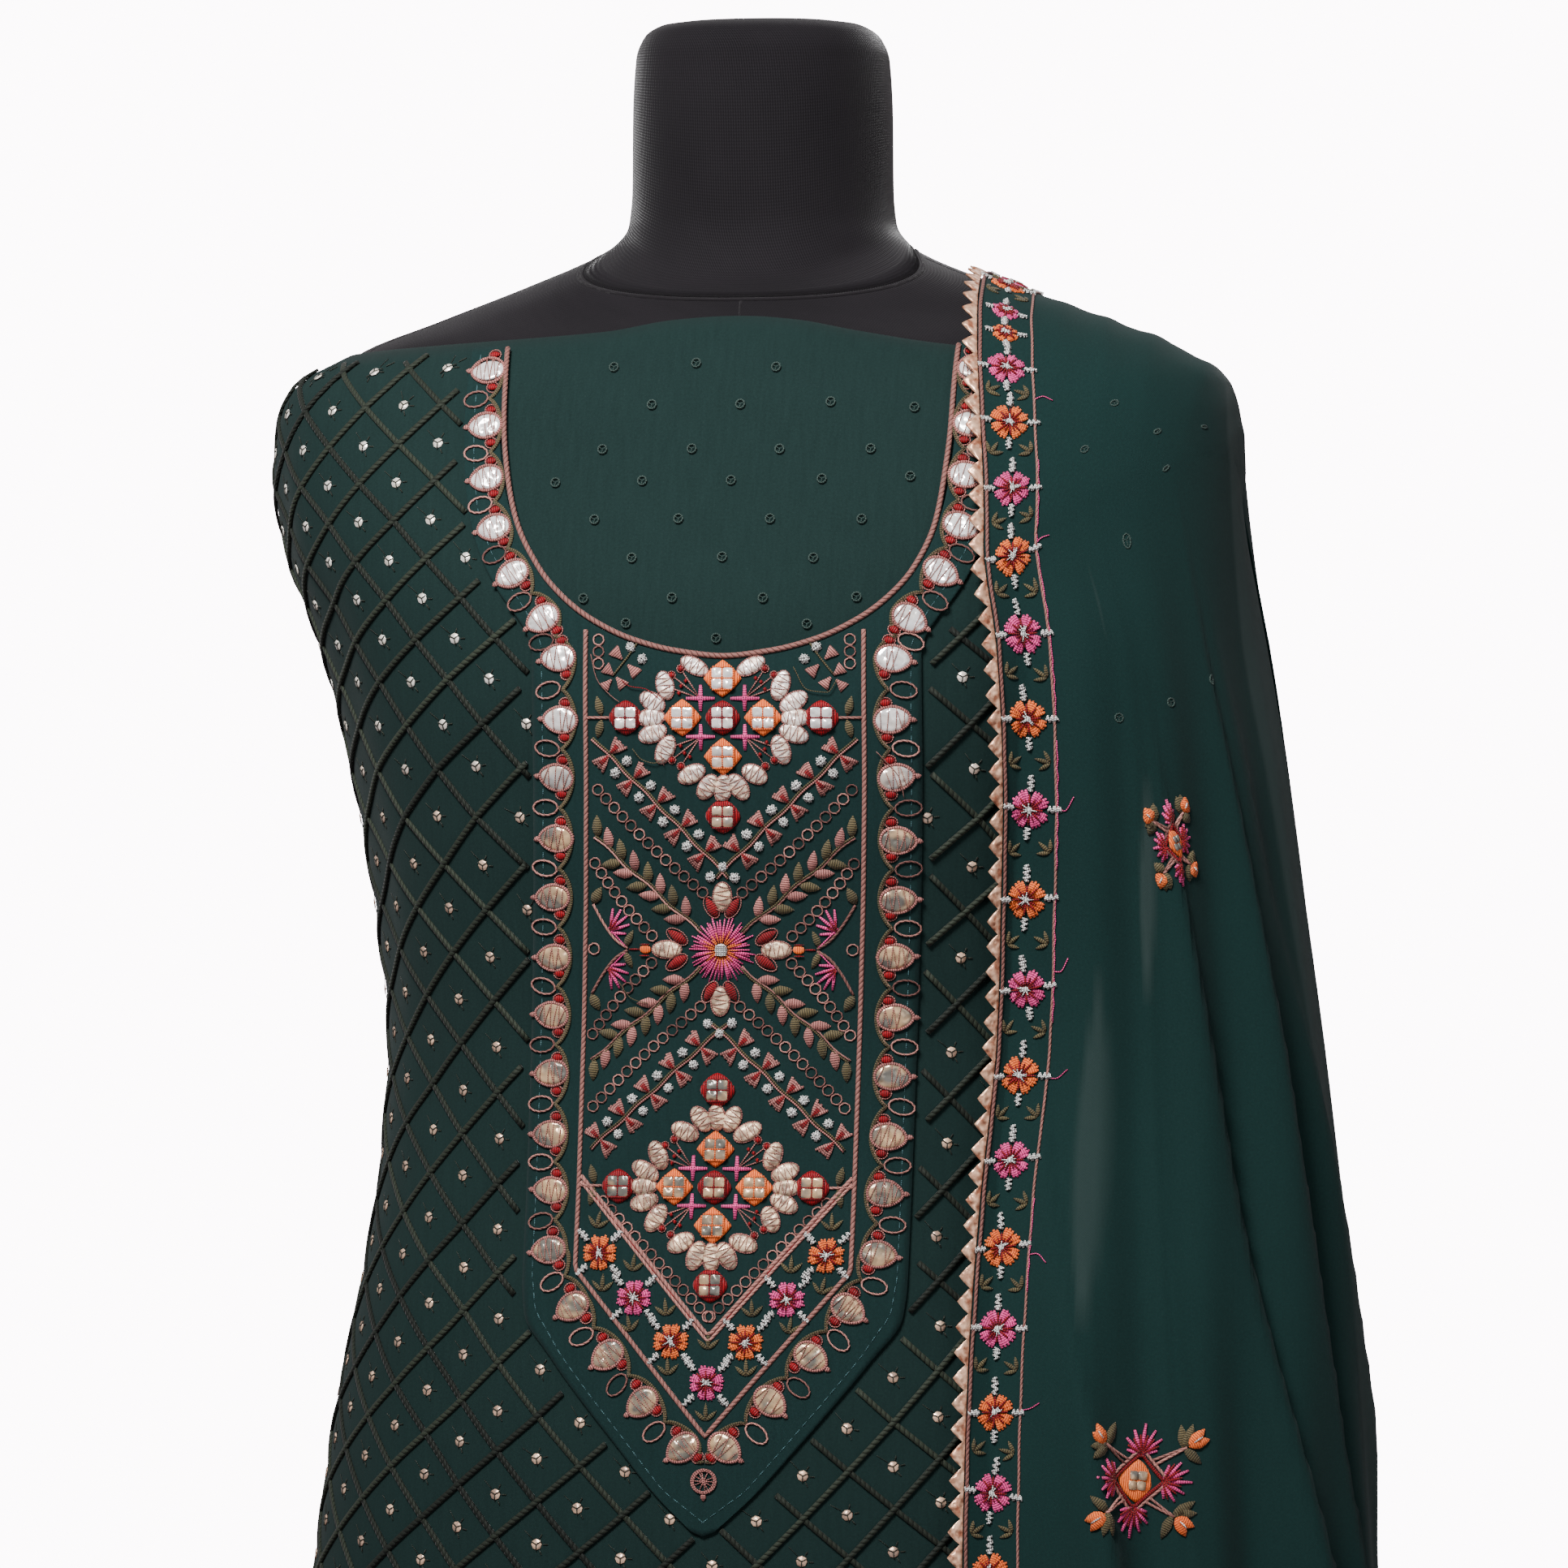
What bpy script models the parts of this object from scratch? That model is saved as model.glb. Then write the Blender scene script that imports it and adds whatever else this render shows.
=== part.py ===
"""A salwar kameez suit on the limbless dress form that carries it, at real size.

The cloth is modelled as walls: a kameez of a front and a back, an appliqued neck patch, a
dupatta over one shoulder in a front and a back fall with toothed edging, and a salwar of a
belt, a seat and two legs with cuffs. The dress form stands on a pole and a round base.
+Z is up, the front faces -Y and the origin is the middle of the base, on the floor.
"""

from collections import namedtuple
import math

import bmesh
import bpy
import numpy as np

# Driving dimensions, in metres
GAP = 0.0003  # between two pieces at a seam
LAY = 0.0008  # under a piece that lies on a curved panel
CLOTH = 0.0012  # georgette with its lining
CHIFFON = 0.0010
PATCH = 0.0010
EDGING = 0.0010

HEM_Z = 0.330
SLIT_Z = 0.800
SLIT_OPEN = 0.012  # how far each side edge stands back at the hem
SIDE_EDGE = 0.0002

# Rings of a body: half widths at the viewer's left and right, depths in front of and behind
# the middle, and how square the section is (2 is an ellipse).
Ring = namedtuple("Ring", "z left right front back square")
KAMEEZ = (
    Ring(0.330, 0.232, 0.232, 0.165, 0.160, 2.30),
    Ring(0.500, 0.226, 0.226, 0.160, 0.157, 2.30),
    Ring(0.700, 0.214, 0.214, 0.150, 0.150, 2.30),
    Ring(0.820, 0.205, 0.205, 0.142, 0.143, 2.30),
    Ring(0.883, 0.198, 0.197, 0.138, 0.140, 2.30),
    Ring(0.944, 0.190, 0.189, 0.134, 0.136, 2.30),
    Ring(1.004, 0.178, 0.177, 0.127, 0.128, 2.30),
    Ring(1.060, 0.169, 0.168, 0.121, 0.117, 2.30),
    Ring(1.110, 0.166, 0.165, 0.120, 0.109, 2.30),
    Ring(1.165, 0.171, 0.170, 0.127, 0.107, 2.30),
    Ring(1.210, 0.178, 0.177, 0.136, 0.108, 2.30),
    Ring(1.259, 0.188, 0.186, 0.141, 0.110, 2.35),
    Ring(1.296, 0.200, 0.196, 0.137, 0.111, 2.40),
    Ring(1.327, 0.212, 0.206, 0.126, 0.110, 2.50),
    Ring(1.362, 0.218, 0.211, 0.110, 0.104, 2.60),
    Ring(1.385, 0.216, 0.209, 0.099, 0.097, 2.60),
    Ring(1.400, 0.210, 0.205, 0.090, 0.090, 2.50),
    Ring(1.4142, 0.186, 0.186, 0.0805, 0.0830, 2.40),
    Ring(1.4300, 0.148, 0.148, 0.0700, 0.0740, 2.30),
)
# Bare shoulder above the kameez, as the dupatta meets it
BARE_SHOULDER = (
    Ring(1.4450, 0.1055, 0.1055, 0.0625, 0.0675, 2.20),
    Ring(1.4560, 0.0785, 0.0785, 0.0585, 0.0640, 2.20),
    Ring(1.4640, 0.0640, 0.0640, 0.0560, 0.0610, 2.20),
)
TORSO = (
    Ring(0.860, 0.156, 0.156, 0.100, 0.108, 2.30),
    Ring(0.890, 0.165, 0.165, 0.107, 0.115, 2.30),
    Ring(0.930, 0.168, 0.168, 0.110, 0.118, 2.30),
    Ring(1.000, 0.152, 0.152, 0.104, 0.104, 2.30),
    Ring(1.080, 0.126, 0.126, 0.092, 0.086, 2.20),
    Ring(1.160, 0.138, 0.138, 0.104, 0.088, 2.20),
    Ring(1.255, 0.162, 0.162, 0.130, 0.098, 2.30),
    Ring(1.310, 0.180, 0.180, 0.121, 0.101, 2.40),
    Ring(1.360, 0.196, 0.196, 0.102, 0.096, 2.50),
    Ring(1.385, 0.197, 0.197, 0.092, 0.090, 2.60),
    Ring(1.400, 0.193, 0.193, 0.0840, 0.0845, 2.50),
    Ring(1.4142, 0.1825, 0.1825, 0.0770, 0.0795, 2.40),
    Ring(1.4300, 0.1440, 0.1440, 0.0665, 0.0705, 2.30),
    Ring(1.4450, 0.1040, 0.1040, 0.0610, 0.0660, 2.20),
    Ring(1.4560, 0.0765, 0.0765, 0.0570, 0.0625, 2.20),
    Ring(1.4640, 0.0620, 0.0620, 0.0545, 0.0600, 2.20),
)
NECK = (
    Ring(1.4300, 0.0700, 0.0700, 0.0665, 0.0680, 2.20),
    Ring(1.4450, 0.0655, 0.0655, 0.0610, 0.0650, 2.20),
    Ring(1.4640, 0.0620, 0.0620, 0.0545, 0.0600, 2.20),
    Ring(1.4720, 0.0592, 0.0592, 0.0535, 0.0575, 2.20),
    Ring(1.4870, 0.0577, 0.0577, 0.0535, 0.0565, 2.25),
    Ring(1.5200, 0.0573, 0.0573, 0.0535, 0.0565, 2.30),
    Ring(1.5450, 0.0558, 0.0558, 0.0520, 0.0550, 2.35),
    Ring(1.5545, 0.0520, 0.0520, 0.0485, 0.0515, 2.40),
    Ring(1.5590, 0.0455, 0.0455, 0.0420, 0.0450, 2.40),
    Ring(1.5600, 0.0390, 0.0390, 0.0360, 0.0390, 2.40),
)
SEAT = (
    Ring(0.700, 0.180, 0.180, 0.122, 0.126, 2.50),
    Ring(0.780, 0.178, 0.178, 0.120, 0.126, 2.40),
    Ring(0.8677, 0.1620, 0.1620, 0.1050, 0.1130, 2.30),
)

# The kameez's upper edge across the front, and the neck seam round the form
Edge = namedtuple("Edge", "x z")
TOP_EDGE = (
    Edge(-0.186, 1.4142),
    Edge(-0.115, 1.4171),
    Edge(-0.052, 1.4210),
    Edge(-0.027, 1.4257),
    Edge(0.000, 1.4275),
    Edge(0.022, 1.4257),
    Edge(0.046, 1.4205),
    Edge(0.075, 1.4150),
    Edge(0.100, 1.4125),
    Edge(0.186, 1.4115),
)
BACK_EDGE_RISE = 0.012
NECK_SEAM_FRONT, NECK_SEAM_SIDE, NECK_SEAM_BACK = 1.4358, 1.4610, 1.4630

# Long soft folds of the kameez: place round the body in degrees from the viewer's left, the
# height where the fold starts, its depth and half width at the hem, and its sideways lean.
Fold = namedtuple("Fold", "angle start depth width lean")
KAMEEZ_FOLDS = (
    Fold(20, 0.95, 0.018, 9.0, -3.0),
    Fold(43, 0.88, 0.015, 8.0, -2.0),
    Fold(68, 0.84, 0.019, 9.0, 2.0),
    Fold(97, 0.86, 0.016, 8.0, -1.0),
    Fold(122, 0.83, 0.020, 9.0, 2.0),
    Fold(149, 0.90, 0.014, 8.0, 3.0),
    Fold(205, 0.92, 0.015, 9.0, -2.0),
    Fold(232, 0.98, 0.018, 9.0, 1.0),
    Fold(258, 1.02, 0.016, 9.0, -1.0),
    Fold(285, 1.02, 0.018, 9.0, 1.0),
    Fold(312, 0.96, 0.019, 9.0, 1.0),
    Fold(337, 0.90, 0.015, 9.0, 2.0),
)

# Neck patch, half of it: where each row starts at the outer edge and ends at the inner one,
# which is the neckline down to its lowest point and the middle below that.
PatchRow = namedtuple("PatchRow", "outer_x outer_z inner_x inner_z")
PATCH_ROWS = (
    PatchRow(0.1150, 1.4140, 0.0980, 1.4140),
    PatchRow(0.1155, 1.3960, 0.0987, 1.3960),
    PatchRow(0.1155, 1.3780, 0.0987, 1.3780),
    PatchRow(0.1145, 1.3600, 0.0970, 1.3600),
    PatchRow(0.1125, 1.3430, 0.0935, 1.3430),
    PatchRow(0.1075, 1.3240, 0.0870, 1.3270),
    PatchRow(0.0985, 1.3070, 0.0770, 1.3120),
    PatchRow(0.0900, 1.2960, 0.0655, 1.2995),
    PatchRow(0.0850, 1.2880, 0.0500, 1.2895),
    PatchRow(0.0830, 1.2790, 0.0330, 1.2830),
    PatchRow(0.0830, 1.2690, 0.0160, 1.2803),
    PatchRow(0.0830, 1.2570, 0.0000, 1.2796),
    PatchRow(0.0830, 1.2400, 0.0000, 1.2520),
    PatchRow(0.0830, 1.2180, 0.0000, 1.2240),
    PatchRow(0.0830, 1.1920, 0.0000, 1.1940),
    PatchRow(0.0830, 1.1640, 0.0000, 1.1640),
    PatchRow(0.0830, 1.1340, 0.0000, 1.1340),
    PatchRow(0.0830, 1.1040, 0.0000, 1.1040),
    PatchRow(0.0830, 1.0740, 0.0000, 1.0740),
    PatchRow(0.0830, 1.0440, 0.0000, 1.0440),
    PatchRow(0.0830, 1.0160, 0.0000, 1.0160),
    PatchRow(0.0815, 0.9980, 0.0000, 0.9960),
    PatchRow(0.0690, 0.9800, 0.0000, 0.9760),
    PatchRow(0.0530, 0.9600, 0.0000, 0.9560),
    PatchRow(0.0370, 0.9410, 0.0000, 0.9370),
    PatchRow(0.0210, 0.9230, 0.0000, 0.9200),
    PatchRow(0.0050, 0.9080, 0.0000, 0.9060),
)
PATCH_CELLS = 5
# How far the patch's middle leans to the side at each height
Lean = namedtuple("Lean", "z x")
PATCH_LEANS = (
    Lean(0.90, -0.0050),
    Lean(1.00, -0.0035),
    Lean(1.10, -0.0008),
    Lean(1.25, 0.0045),
    Lean(1.30, 0.0040),
    Lean(1.36, 0.0000),
    Lean(1.41, -0.0020),
)

# Dupatta: where each level of a fall starts at its inner edge, the point that its plan curve
# bends towards, and where it ends at the side.
Level = namedtuple("Level", "z edge_x bend_x bend_y side_x side_y")
FRONT_FALL = (
    Level(0.470, 0.099, 0.258, -0.160, 0.2930, 0.000),
    Level(0.580, 0.100, 0.254, -0.156, 0.2890, 0.000),
    Level(0.690, 0.100, 0.248, -0.151, 0.2840, 0.000),
    Level(0.790, 0.1005, 0.242, -0.146, 0.2785, 0.000),
    Level(0.870, 0.1005, 0.236, -0.139, 0.2720, 0.000),
    Level(0.930, 0.1010, 0.231, -0.131, 0.2680, 0.000),
    Level(0.990, 0.1020, 0.226, -0.121, 0.2630, -0.002),
    Level(1.050, 0.1050, 0.221, -0.114, 0.2560, -0.003),
    Level(1.110, 0.1105, 0.216, -0.112, 0.2490, -0.004),
    Level(1.170, 0.1135, 0.211, -0.116, 0.2410, -0.005),
    Level(1.230, 0.1160, 0.206, -0.120, 0.2330, -0.006),
    Level(1.285, 0.1140, 0.201, -0.116, 0.2240, -0.007),
)
BACK_FALL = (
    Level(1.285, 0.112, 0.200, 0.108, 0.2240, 0.010),
    Level(1.230, 0.109, 0.205, 0.110, 0.2320, 0.012),
    Level(1.170, 0.105, 0.211, 0.113, 0.2395, 0.014),
    Level(1.110, 0.101, 0.215, 0.117, 0.2465, 0.016),
    Level(1.050, 0.097, 0.220, 0.124, 0.2530, 0.018),
    Level(0.990, 0.094, 0.225, 0.133, 0.2590, 0.018),
    Level(0.920, 0.090, 0.231, 0.141, 0.2650, 0.019),
    Level(0.840, 0.086, 0.237, 0.149, 0.2710, 0.020),
    Level(0.750, 0.082, 0.243, 0.155, 0.2765, 0.020),
    Level(0.650, 0.078, 0.248, 0.160, 0.2815, 0.020),
    Level(0.540, 0.075, 0.252, 0.164, 0.2860, 0.020),
    Level(0.420, 0.072, 0.256, 0.168, 0.2900, 0.020),
)
FALL_COLUMNS = 18
EDGE_LIFT = 0.0045  # the inner edge stands clear of the patch under it
REST_LIFT = 0.0017  # the rest of the chiffon over the shoulder
SHOULDER_STEP = 8.0  # degrees between rows over the shoulder
HUB_X, HUB_OUT, HUB_Z = 0.101, 0.044, 1.310
HUB_BULGE = 0.013  # how far the inner edge swings out below the shoulder line
HUB_TILT = 62.0  # how far the outer edge leans out, in degrees from upright
REACH_INNER, REACH_OUTER = 85.0, 6.0  # how far down each edge follows the shoulder
# Ridges of the falls: place across (0 inner edge, 1 side) at the shoulder and at the hem,
# depth at the hem and half width across.
Ridge = namedtuple("Ridge", "top hem depth width")
FRONT_RIDGES = (
    Ridge(0.26, 0.24, 0.011, 0.075),
    Ridge(0.50, 0.46, 0.014, 0.075),
    Ridge(0.72, 0.68, 0.018, 0.080),
    Ridge(0.90, 0.88, 0.012, 0.070),
)
BACK_RIDGES = (
    Ridge(0.22, 0.20, 0.013, 0.075),
    Ridge(0.46, 0.44, 0.015, 0.080),
    Ridge(0.70, 0.68, 0.015, 0.080),
    Ridge(0.90, 0.90, 0.010, 0.070),
)

TOOTH_PITCH = 0.0115
TOOTH_HEIGHT = 0.0055
TOOTH_BAND = 0.0020

BELT_TOP, BELT_FOOT = 0.950, 0.868
SEAT_FOOT = 0.700
LEG_FOOT = 0.1153
CUFF_TOP, CUFF_FOOT = 0.1150, 0.052
INSEAM_X = 0.0003  # each leg's inner wall from the middle
# A leg's rings: middle, half width, depth, and how much it still is half of the seat
Leg = namedtuple("Leg", "z middle half depth share")
LEGS = (
    Leg(0.0520, 0.103, 0.069, 0.050, 0.0),
    Leg(0.1150, 0.103, 0.070, 0.051, 0.0),
    Leg(0.1800, 0.104, 0.090, 0.070, 0.0),
    Leg(0.3000, 0.104, 0.098, 0.092, 0.0),
    Leg(0.4500, 0.098, 0.094, 0.106, 0.3),
    Leg(0.5800, 0.091, 0.0885, 0.114, 0.7),
    Leg(0.6997, 0.091, 0.0885, 0.122, 1.0),
)
LEG_FOLDS, LEG_FOLD_DEPTH = 7, 0.0080

POLE_X, POLE_RADIUS = 0.085, 0.0125  # beside the middle, to pass down inside one leg
BASE_RADIUS, BASE_THICK = 0.170, 0.012
COLLAR_RADIUS, COLLAR_TALL = 0.032, 0.022

ROUND = 28  # columns round the form and the seat
FRONT_COLUMNS, BACK_COLUMNS = 24, 18
LEG_COLUMNS = 22


def clear_scene():
    for thing in list(bpy.data.objects):
        bpy.data.objects.remove(thing, do_unlink=True)


def material(name, colour, roughness, metallic=0.0):
    made = bpy.data.materials.new(name)
    made.use_nodes = True
    shader = made.node_tree.nodes["Principled BSDF"]
    shader.inputs["Base Color"].default_value = (*colour, 1.0)
    shader.inputs["Roughness"].default_value = roughness
    shader.inputs["Metallic"].default_value = metallic
    return made


def smooth(xs, ys, at):
    """Monotone cubic through the points (xs, ys), level past its ends."""
    at = np.clip(at, xs[0], xs[-1])
    step = np.diff(xs)
    slope = np.diff(ys) / step
    product = slope[:-1] * slope[1:]
    total = np.where(product > 0, slope[:-1] + slope[1:], 1.0)
    inner = np.where(product > 0, 2 * product / total, 0.0)
    tangent = np.concatenate([slope[:1], inner, slope[-1:]])
    i = np.clip(np.searchsorted(xs, at) - 1, 0, len(xs) - 2)
    t = (at - xs[i]) / step[i]
    start = ys[i] * (1 + 2 * t) + step[i] * tangent[i] * t
    end = ys[i + 1] * (3 - 2 * t) + step[i] * tangent[i + 1] * (t - 1)
    return start * (1 - t) ** 2 + end * t * t


def at_height(rows, z):
    """One row of the table with every column read at the heights z."""
    columns = [np.array(column, float) for column in zip(*rows)]
    return type(rows[0])(z, *(smooth(columns[0], column, z) for column in columns[1:]))


def round_the_body(rows, angle, z):
    """Points at angles in radians: 0 viewer's left, a quarter turn on front, then right, back."""
    ring = at_height(rows, z)
    along, across = -np.cos(angle), -np.sin(angle)
    power = 2 / ring.square
    wide = np.where(along < 0, ring.left, ring.right)
    deep = np.where(across < 0, ring.front, ring.back)
    x = np.sign(along) * wide * np.abs(along) ** power
    y = np.sign(across) * deep * np.abs(across) ** power
    return np.stack(np.broadcast_arrays(x, y, z), axis=-1)


def surface_normals(points):
    """Unit normals of a grid of points, out of the face that its rows and columns turn."""
    down, along = np.gradient(points, axis=(0, 1))
    normal = np.cross(along, down)
    return normal / np.linalg.norm(normal, axis=-1, keepdims=True)


def fold_height(angle, z):
    """How far the kameez's folds stand out at an angle and a height."""
    height = np.zeros(np.broadcast(angle, z).shape)
    for fold in KAMEEZ_FOLDS:
        down = np.clip((fold.start - z) / (fold.start - HEM_Z), 0, 1)
        middle = np.radians(fold.angle + fold.lean * down)
        across = (angle - middle) / np.radians(fold.width)
        height = height + fold.depth * down**1.3 * np.exp(-(across**2))
    return height


def kameez_surface(angle, z):
    points = round_the_body(KAMEEZ, angle, z)
    outward = points * (1, 1, 0)
    outward /= np.linalg.norm(outward, axis=-1, keepdims=True)
    return points + outward * fold_height(angle, z)[..., None]


def angle_at(x, z):
    """The angle round the kameez's front where its surface lies at x."""
    ring = at_height(KAMEEZ, z)
    share = np.abs(x) / np.where(x < 0, ring.left, ring.right)
    return np.arccos(-np.sign(x) * np.clip(share, 0, 1) ** (ring.square / 2))


def link(name, mesh, finish):
    mesh.materials.append(finish)
    thing = bpy.data.objects.new(name, mesh)
    bpy.data.collections["salwar_kameez_suit"].objects.link(thing)
    thing.parent = bpy.data.objects["suit_on_form"]
    mesh.shade_smooth()
    return thing


def grid_mesh(name, points, closed=False):
    """A sheet from a grid of points, or a tube where its columns close.

    Its faces look outwards where the rows climb and the columns run from left to right.
    """
    rows, columns = points.shape[:2]
    index = np.arange(rows * columns).reshape(rows, columns)
    if closed:
        index = np.hstack([index, index[:, :1]])
    corners = (index[:-1, :-1], index[:-1, 1:], index[1:, 1:], index[1:, :-1])
    faces = np.stack(corners, axis=-1).reshape(-1, 4)
    mesh = bpy.data.meshes.new(name)
    mesh.from_pydata(points.reshape(-1, 3).tolist(), [], faces.tolist())
    return mesh


def add_wall(thing, thickness, offset=-1.0):
    """Gives an open sheet its thickness: inwards at -1 and outwards at 1."""
    wall = thing.modifiers.new("Wall", "SOLIDIFY")
    wall.thickness = thickness
    wall.offset = offset


def cap_ends(mesh, rows, columns):
    """Closes a tube's two ends with a fan about the middle of each rim."""
    shape = bmesh.new()
    shape.from_mesh(mesh)
    shape.verts.ensure_lookup_table()
    last = (rows - 1) * columns
    rims = [[shape.verts[first + i] for i in range(columns)] for first in (0, last)]
    for rim, turn in zip(rims, (-1, 1)):
        middle = sum((corner.co for corner in rim), rim[0].co * 0) / columns
        hub = shape.verts.new(middle)
        for i in range(columns):
            ends = (rim[i], rim[(i + 1) % columns])
            shape.faces.new((*ends[::turn], hub))
    bmesh.ops.recalc_face_normals(shape, faces=shape.faces)
    shape.to_mesh(mesh)
    shape.free()


def turned(name, profile, at, finish, steps=32):
    """A solid turned about the upright line through `at`."""
    mesh = bpy.data.meshes.new(name)
    corners = [(radius, 0.0, z) for radius, z in profile]
    mesh.from_pydata(corners, [(i, i + 1) for i in range(len(corners) - 1)], [])
    thing = link(name, mesh, finish)
    thing.location = at
    screw = thing.modifiers.new("Turn", "SCREW")
    screw.steps = screw.render_steps = steps
    screw.use_merge_vertices = True
    screw.merge_threshold = 0.00001
    return thing


def neck_seam(angle):
    """Height of the seam between the torso and the neck: low in front, high at the back."""
    front = np.clip(np.sin(angle), 0, 1)
    back = np.clip(-np.sin(angle), 0, 1)
    drop = (NECK_SEAM_SIDE - NECK_SEAM_FRONT) * front**1.6
    return NECK_SEAM_SIDE - drop + (NECK_SEAM_BACK - NECK_SEAM_SIDE) * back


def make_form(jersey):
    angle = np.arange(ROUND) * 2 * math.pi / ROUND
    seam = neck_seam(angle)
    levels = np.concatenate([np.linspace(0, 0.86, 13), [0.90, 0.925, 0.95, 0.975, 1.0]])
    z = TORSO[0].z + levels[:, None] * (seam - TORSO[0].z)
    torso = round_the_body(TORSO, angle[None, :], z)
    mesh = grid_mesh("form_torso", torso, closed=True)
    cap_ends(mesh, *torso.shape[:2])
    link("form_torso", mesh, jersey)

    rise = np.array([0, 0.12, 0.28, 0.5, 0.75, 0.88, 0.96, 0.99, 1.0])
    z = seam + rise[:, None] * (NECK[-1].z - seam)
    neck = round_the_body(NECK, angle[None, :], z)
    neck[0] = torso[-1]
    neck[0, :, 2] += GAP
    mesh = grid_mesh("form_neck_block", neck, closed=True)
    cap_ends(mesh, *neck.shape[:2])
    link("form_neck_block", mesh, jersey)


def make_stand(steel):
    bend = 0.004
    rim = [
        (BASE_RADIUS - bend + bend * math.sin(turn), BASE_THICK - bend + bend * math.cos(turn))
        for turn in np.linspace(0, math.pi / 2, 4)
    ]
    profile = [(0, BASE_THICK), *rim, (BASE_RADIUS, 0), (0, 0)]
    turned("stand_base", profile, (0, 0, 0), steel, steps=40)

    foot = BASE_THICK + GAP
    top = TORSO[0].z - COLLAR_TALL - 2 * GAP
    bpy.ops.mesh.primitive_cylinder_add(
        vertices=24, radius=POLE_RADIUS, depth=top - foot, location=(POLE_X, 0, (top + foot) / 2)
    )
    pole = bpy.context.object
    pole.name = "stand_pole"
    for collection in list(pole.users_collection):
        collection.objects.unlink(pole)
    bpy.data.collections["salwar_kameez_suit"].objects.link(pole)
    pole.parent = bpy.data.objects["suit_on_form"]
    pole.data.materials.append(steel)

    low = top + GAP
    high = TORSO[0].z - GAP
    slope = COLLAR_RADIUS - POLE_RADIUS
    profile = [(0, high), (COLLAR_RADIUS, high), (COLLAR_RADIUS, high - 0.005)]
    profile += [(COLLAR_RADIUS - 0.7 * slope, low), (0, low)]
    turned("stand_collar", profile, (POLE_X, 0, 0), steel)


def slit_angle(z):
    """How far round from the side seam a panel's edge lies: the seam, then the open slit."""
    ring = at_height(KAMEEZ, z)
    open_by = SIDE_EDGE + SLIT_OPEN * np.clip((SLIT_Z - z) / (SLIT_Z - HEM_Z), 0, 1)
    return (open_by / ring.front) ** (ring.square / 2)


def make_kameez(georgette):
    low = np.linspace(0, 0.50, 9)
    high = np.linspace(0.50, 1, 20)[1:]
    level = np.concatenate([low, high])[:, None]
    edge_x, edge_z = (np.array(column) for column in zip(*TOP_EDGE))
    panels = (("kameez_front", FRONT_COLUMNS, 0), ("kameez_back", BACK_COLUMNS, math.pi))
    for name, columns, first in panels:
        share = np.linspace(0, 1, columns + 1)[None, :]
        if first == 0:
            top = smooth(edge_x, edge_z, -np.cos(share * math.pi) * edge_x[-1])
        else:
            right, left = edge_z[-1], edge_z[0]
            top = right + (left - right) * share + BACK_EDGE_RISE * np.sin(share * math.pi) ** 2
        z = HEM_Z + level * (top - HEM_Z)
        margin = slit_angle(z)
        angle = first + margin + share * (math.pi - 2 * margin)
        points = kameez_surface(angle, z)
        thing = link(name, grid_mesh(name, points), georgette)
        add_wall(thing, CLOTH)


def patch_point(x, z):
    """A point of the kameez's front at x and z, with the way out of it."""
    step = 0.0005
    here = kameez_surface(angle_at(x, z), z)
    beside = kameez_surface(angle_at(x + step, z), z)
    below = kameez_surface(angle_at(x, z - step), z - step)
    out = np.cross(below - here, beside - here)
    return here, out / np.linalg.norm(out, axis=-1, keepdims=True)


def make_patch(georgette):
    outer_x, outer_z, inner_x, inner_z = (np.array(c)[:, None] for c in zip(*PATCH_ROWS))
    share = np.linspace(0, 1, PATCH_CELLS + 1)[None, :]
    x = outer_x + (inner_x - outer_x) * share
    z = outer_z + (inner_z - outer_z) * share
    shape = bmesh.new()
    lean = at_height(PATCH_LEANS, z).x
    for side in (-1, 1):
        here, out = patch_point(side * x + lean, z)
        points = here + out * LAY
        half = grid_mesh("half", points[::side])
        shape.from_mesh(half)
        bpy.data.meshes.remove(half)
    bmesh.ops.remove_doubles(shape, verts=shape.verts, dist=0.00005)
    mesh = bpy.data.meshes.new("neck_patch")
    shape.to_mesh(mesh)
    shape.free()
    add_wall(link("neck_patch", mesh, georgette), PATCH, offset=1.0)


def inside(points, clearance):
    """Below 1 inside the clothed body grown by the clearance, and above 1 outside it."""
    x, y, z = np.moveaxis(points, -1, 0)
    ring = at_height(KAMEEZ + BARE_SHOULDER, z)
    angle = np.arctan2(-y / ring.front, -x / ring.left) % (2 * math.pi)
    grow = clearance + fold_height(angle, z)
    wide = np.where(x < 0, ring.left, ring.right) + grow
    deep = np.where(y < 0, ring.front, ring.back) + grow
    power = ring.square
    return ((np.abs(x) / wide) ** power + (np.abs(y) / deep) ** power) ** (1 / power)


def over_shoulder(across, share, lift):
    """Where rays from hubs inside the shoulder leave the body, in rows from front to back."""
    reach = np.radians(REACH_INNER + (REACH_OUTER - REACH_INNER) * across**2)
    turn = share[:, None] * reach[None, :]
    tilt = np.radians(HUB_TILT) * across[None, :] ** 1.3
    hub_x = HUB_X + HUB_OUT * across[None, :] + HUB_BULGE * np.sin(turn) ** 2 * (1 - across[None, :])
    hub = np.stack(np.broadcast_arrays(hub_x, 0.0 * turn, HUB_Z), axis=-1)
    ray = (np.sin(tilt), np.cos(tilt) * np.sin(turn), np.cos(tilt) * np.cos(turn))
    ray = np.stack(np.broadcast_arrays(*ray), axis=-1)
    near, far = np.zeros(turn.shape), np.full(turn.shape, 0.30)
    for _ in range(32):
        middle = (near + far) / 2
        within = inside(hub + ray * middle[..., None], lift) < 1
        near, far = np.where(within, middle, near), np.where(within, far, middle)
    return hub + ray * far[..., None]


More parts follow.
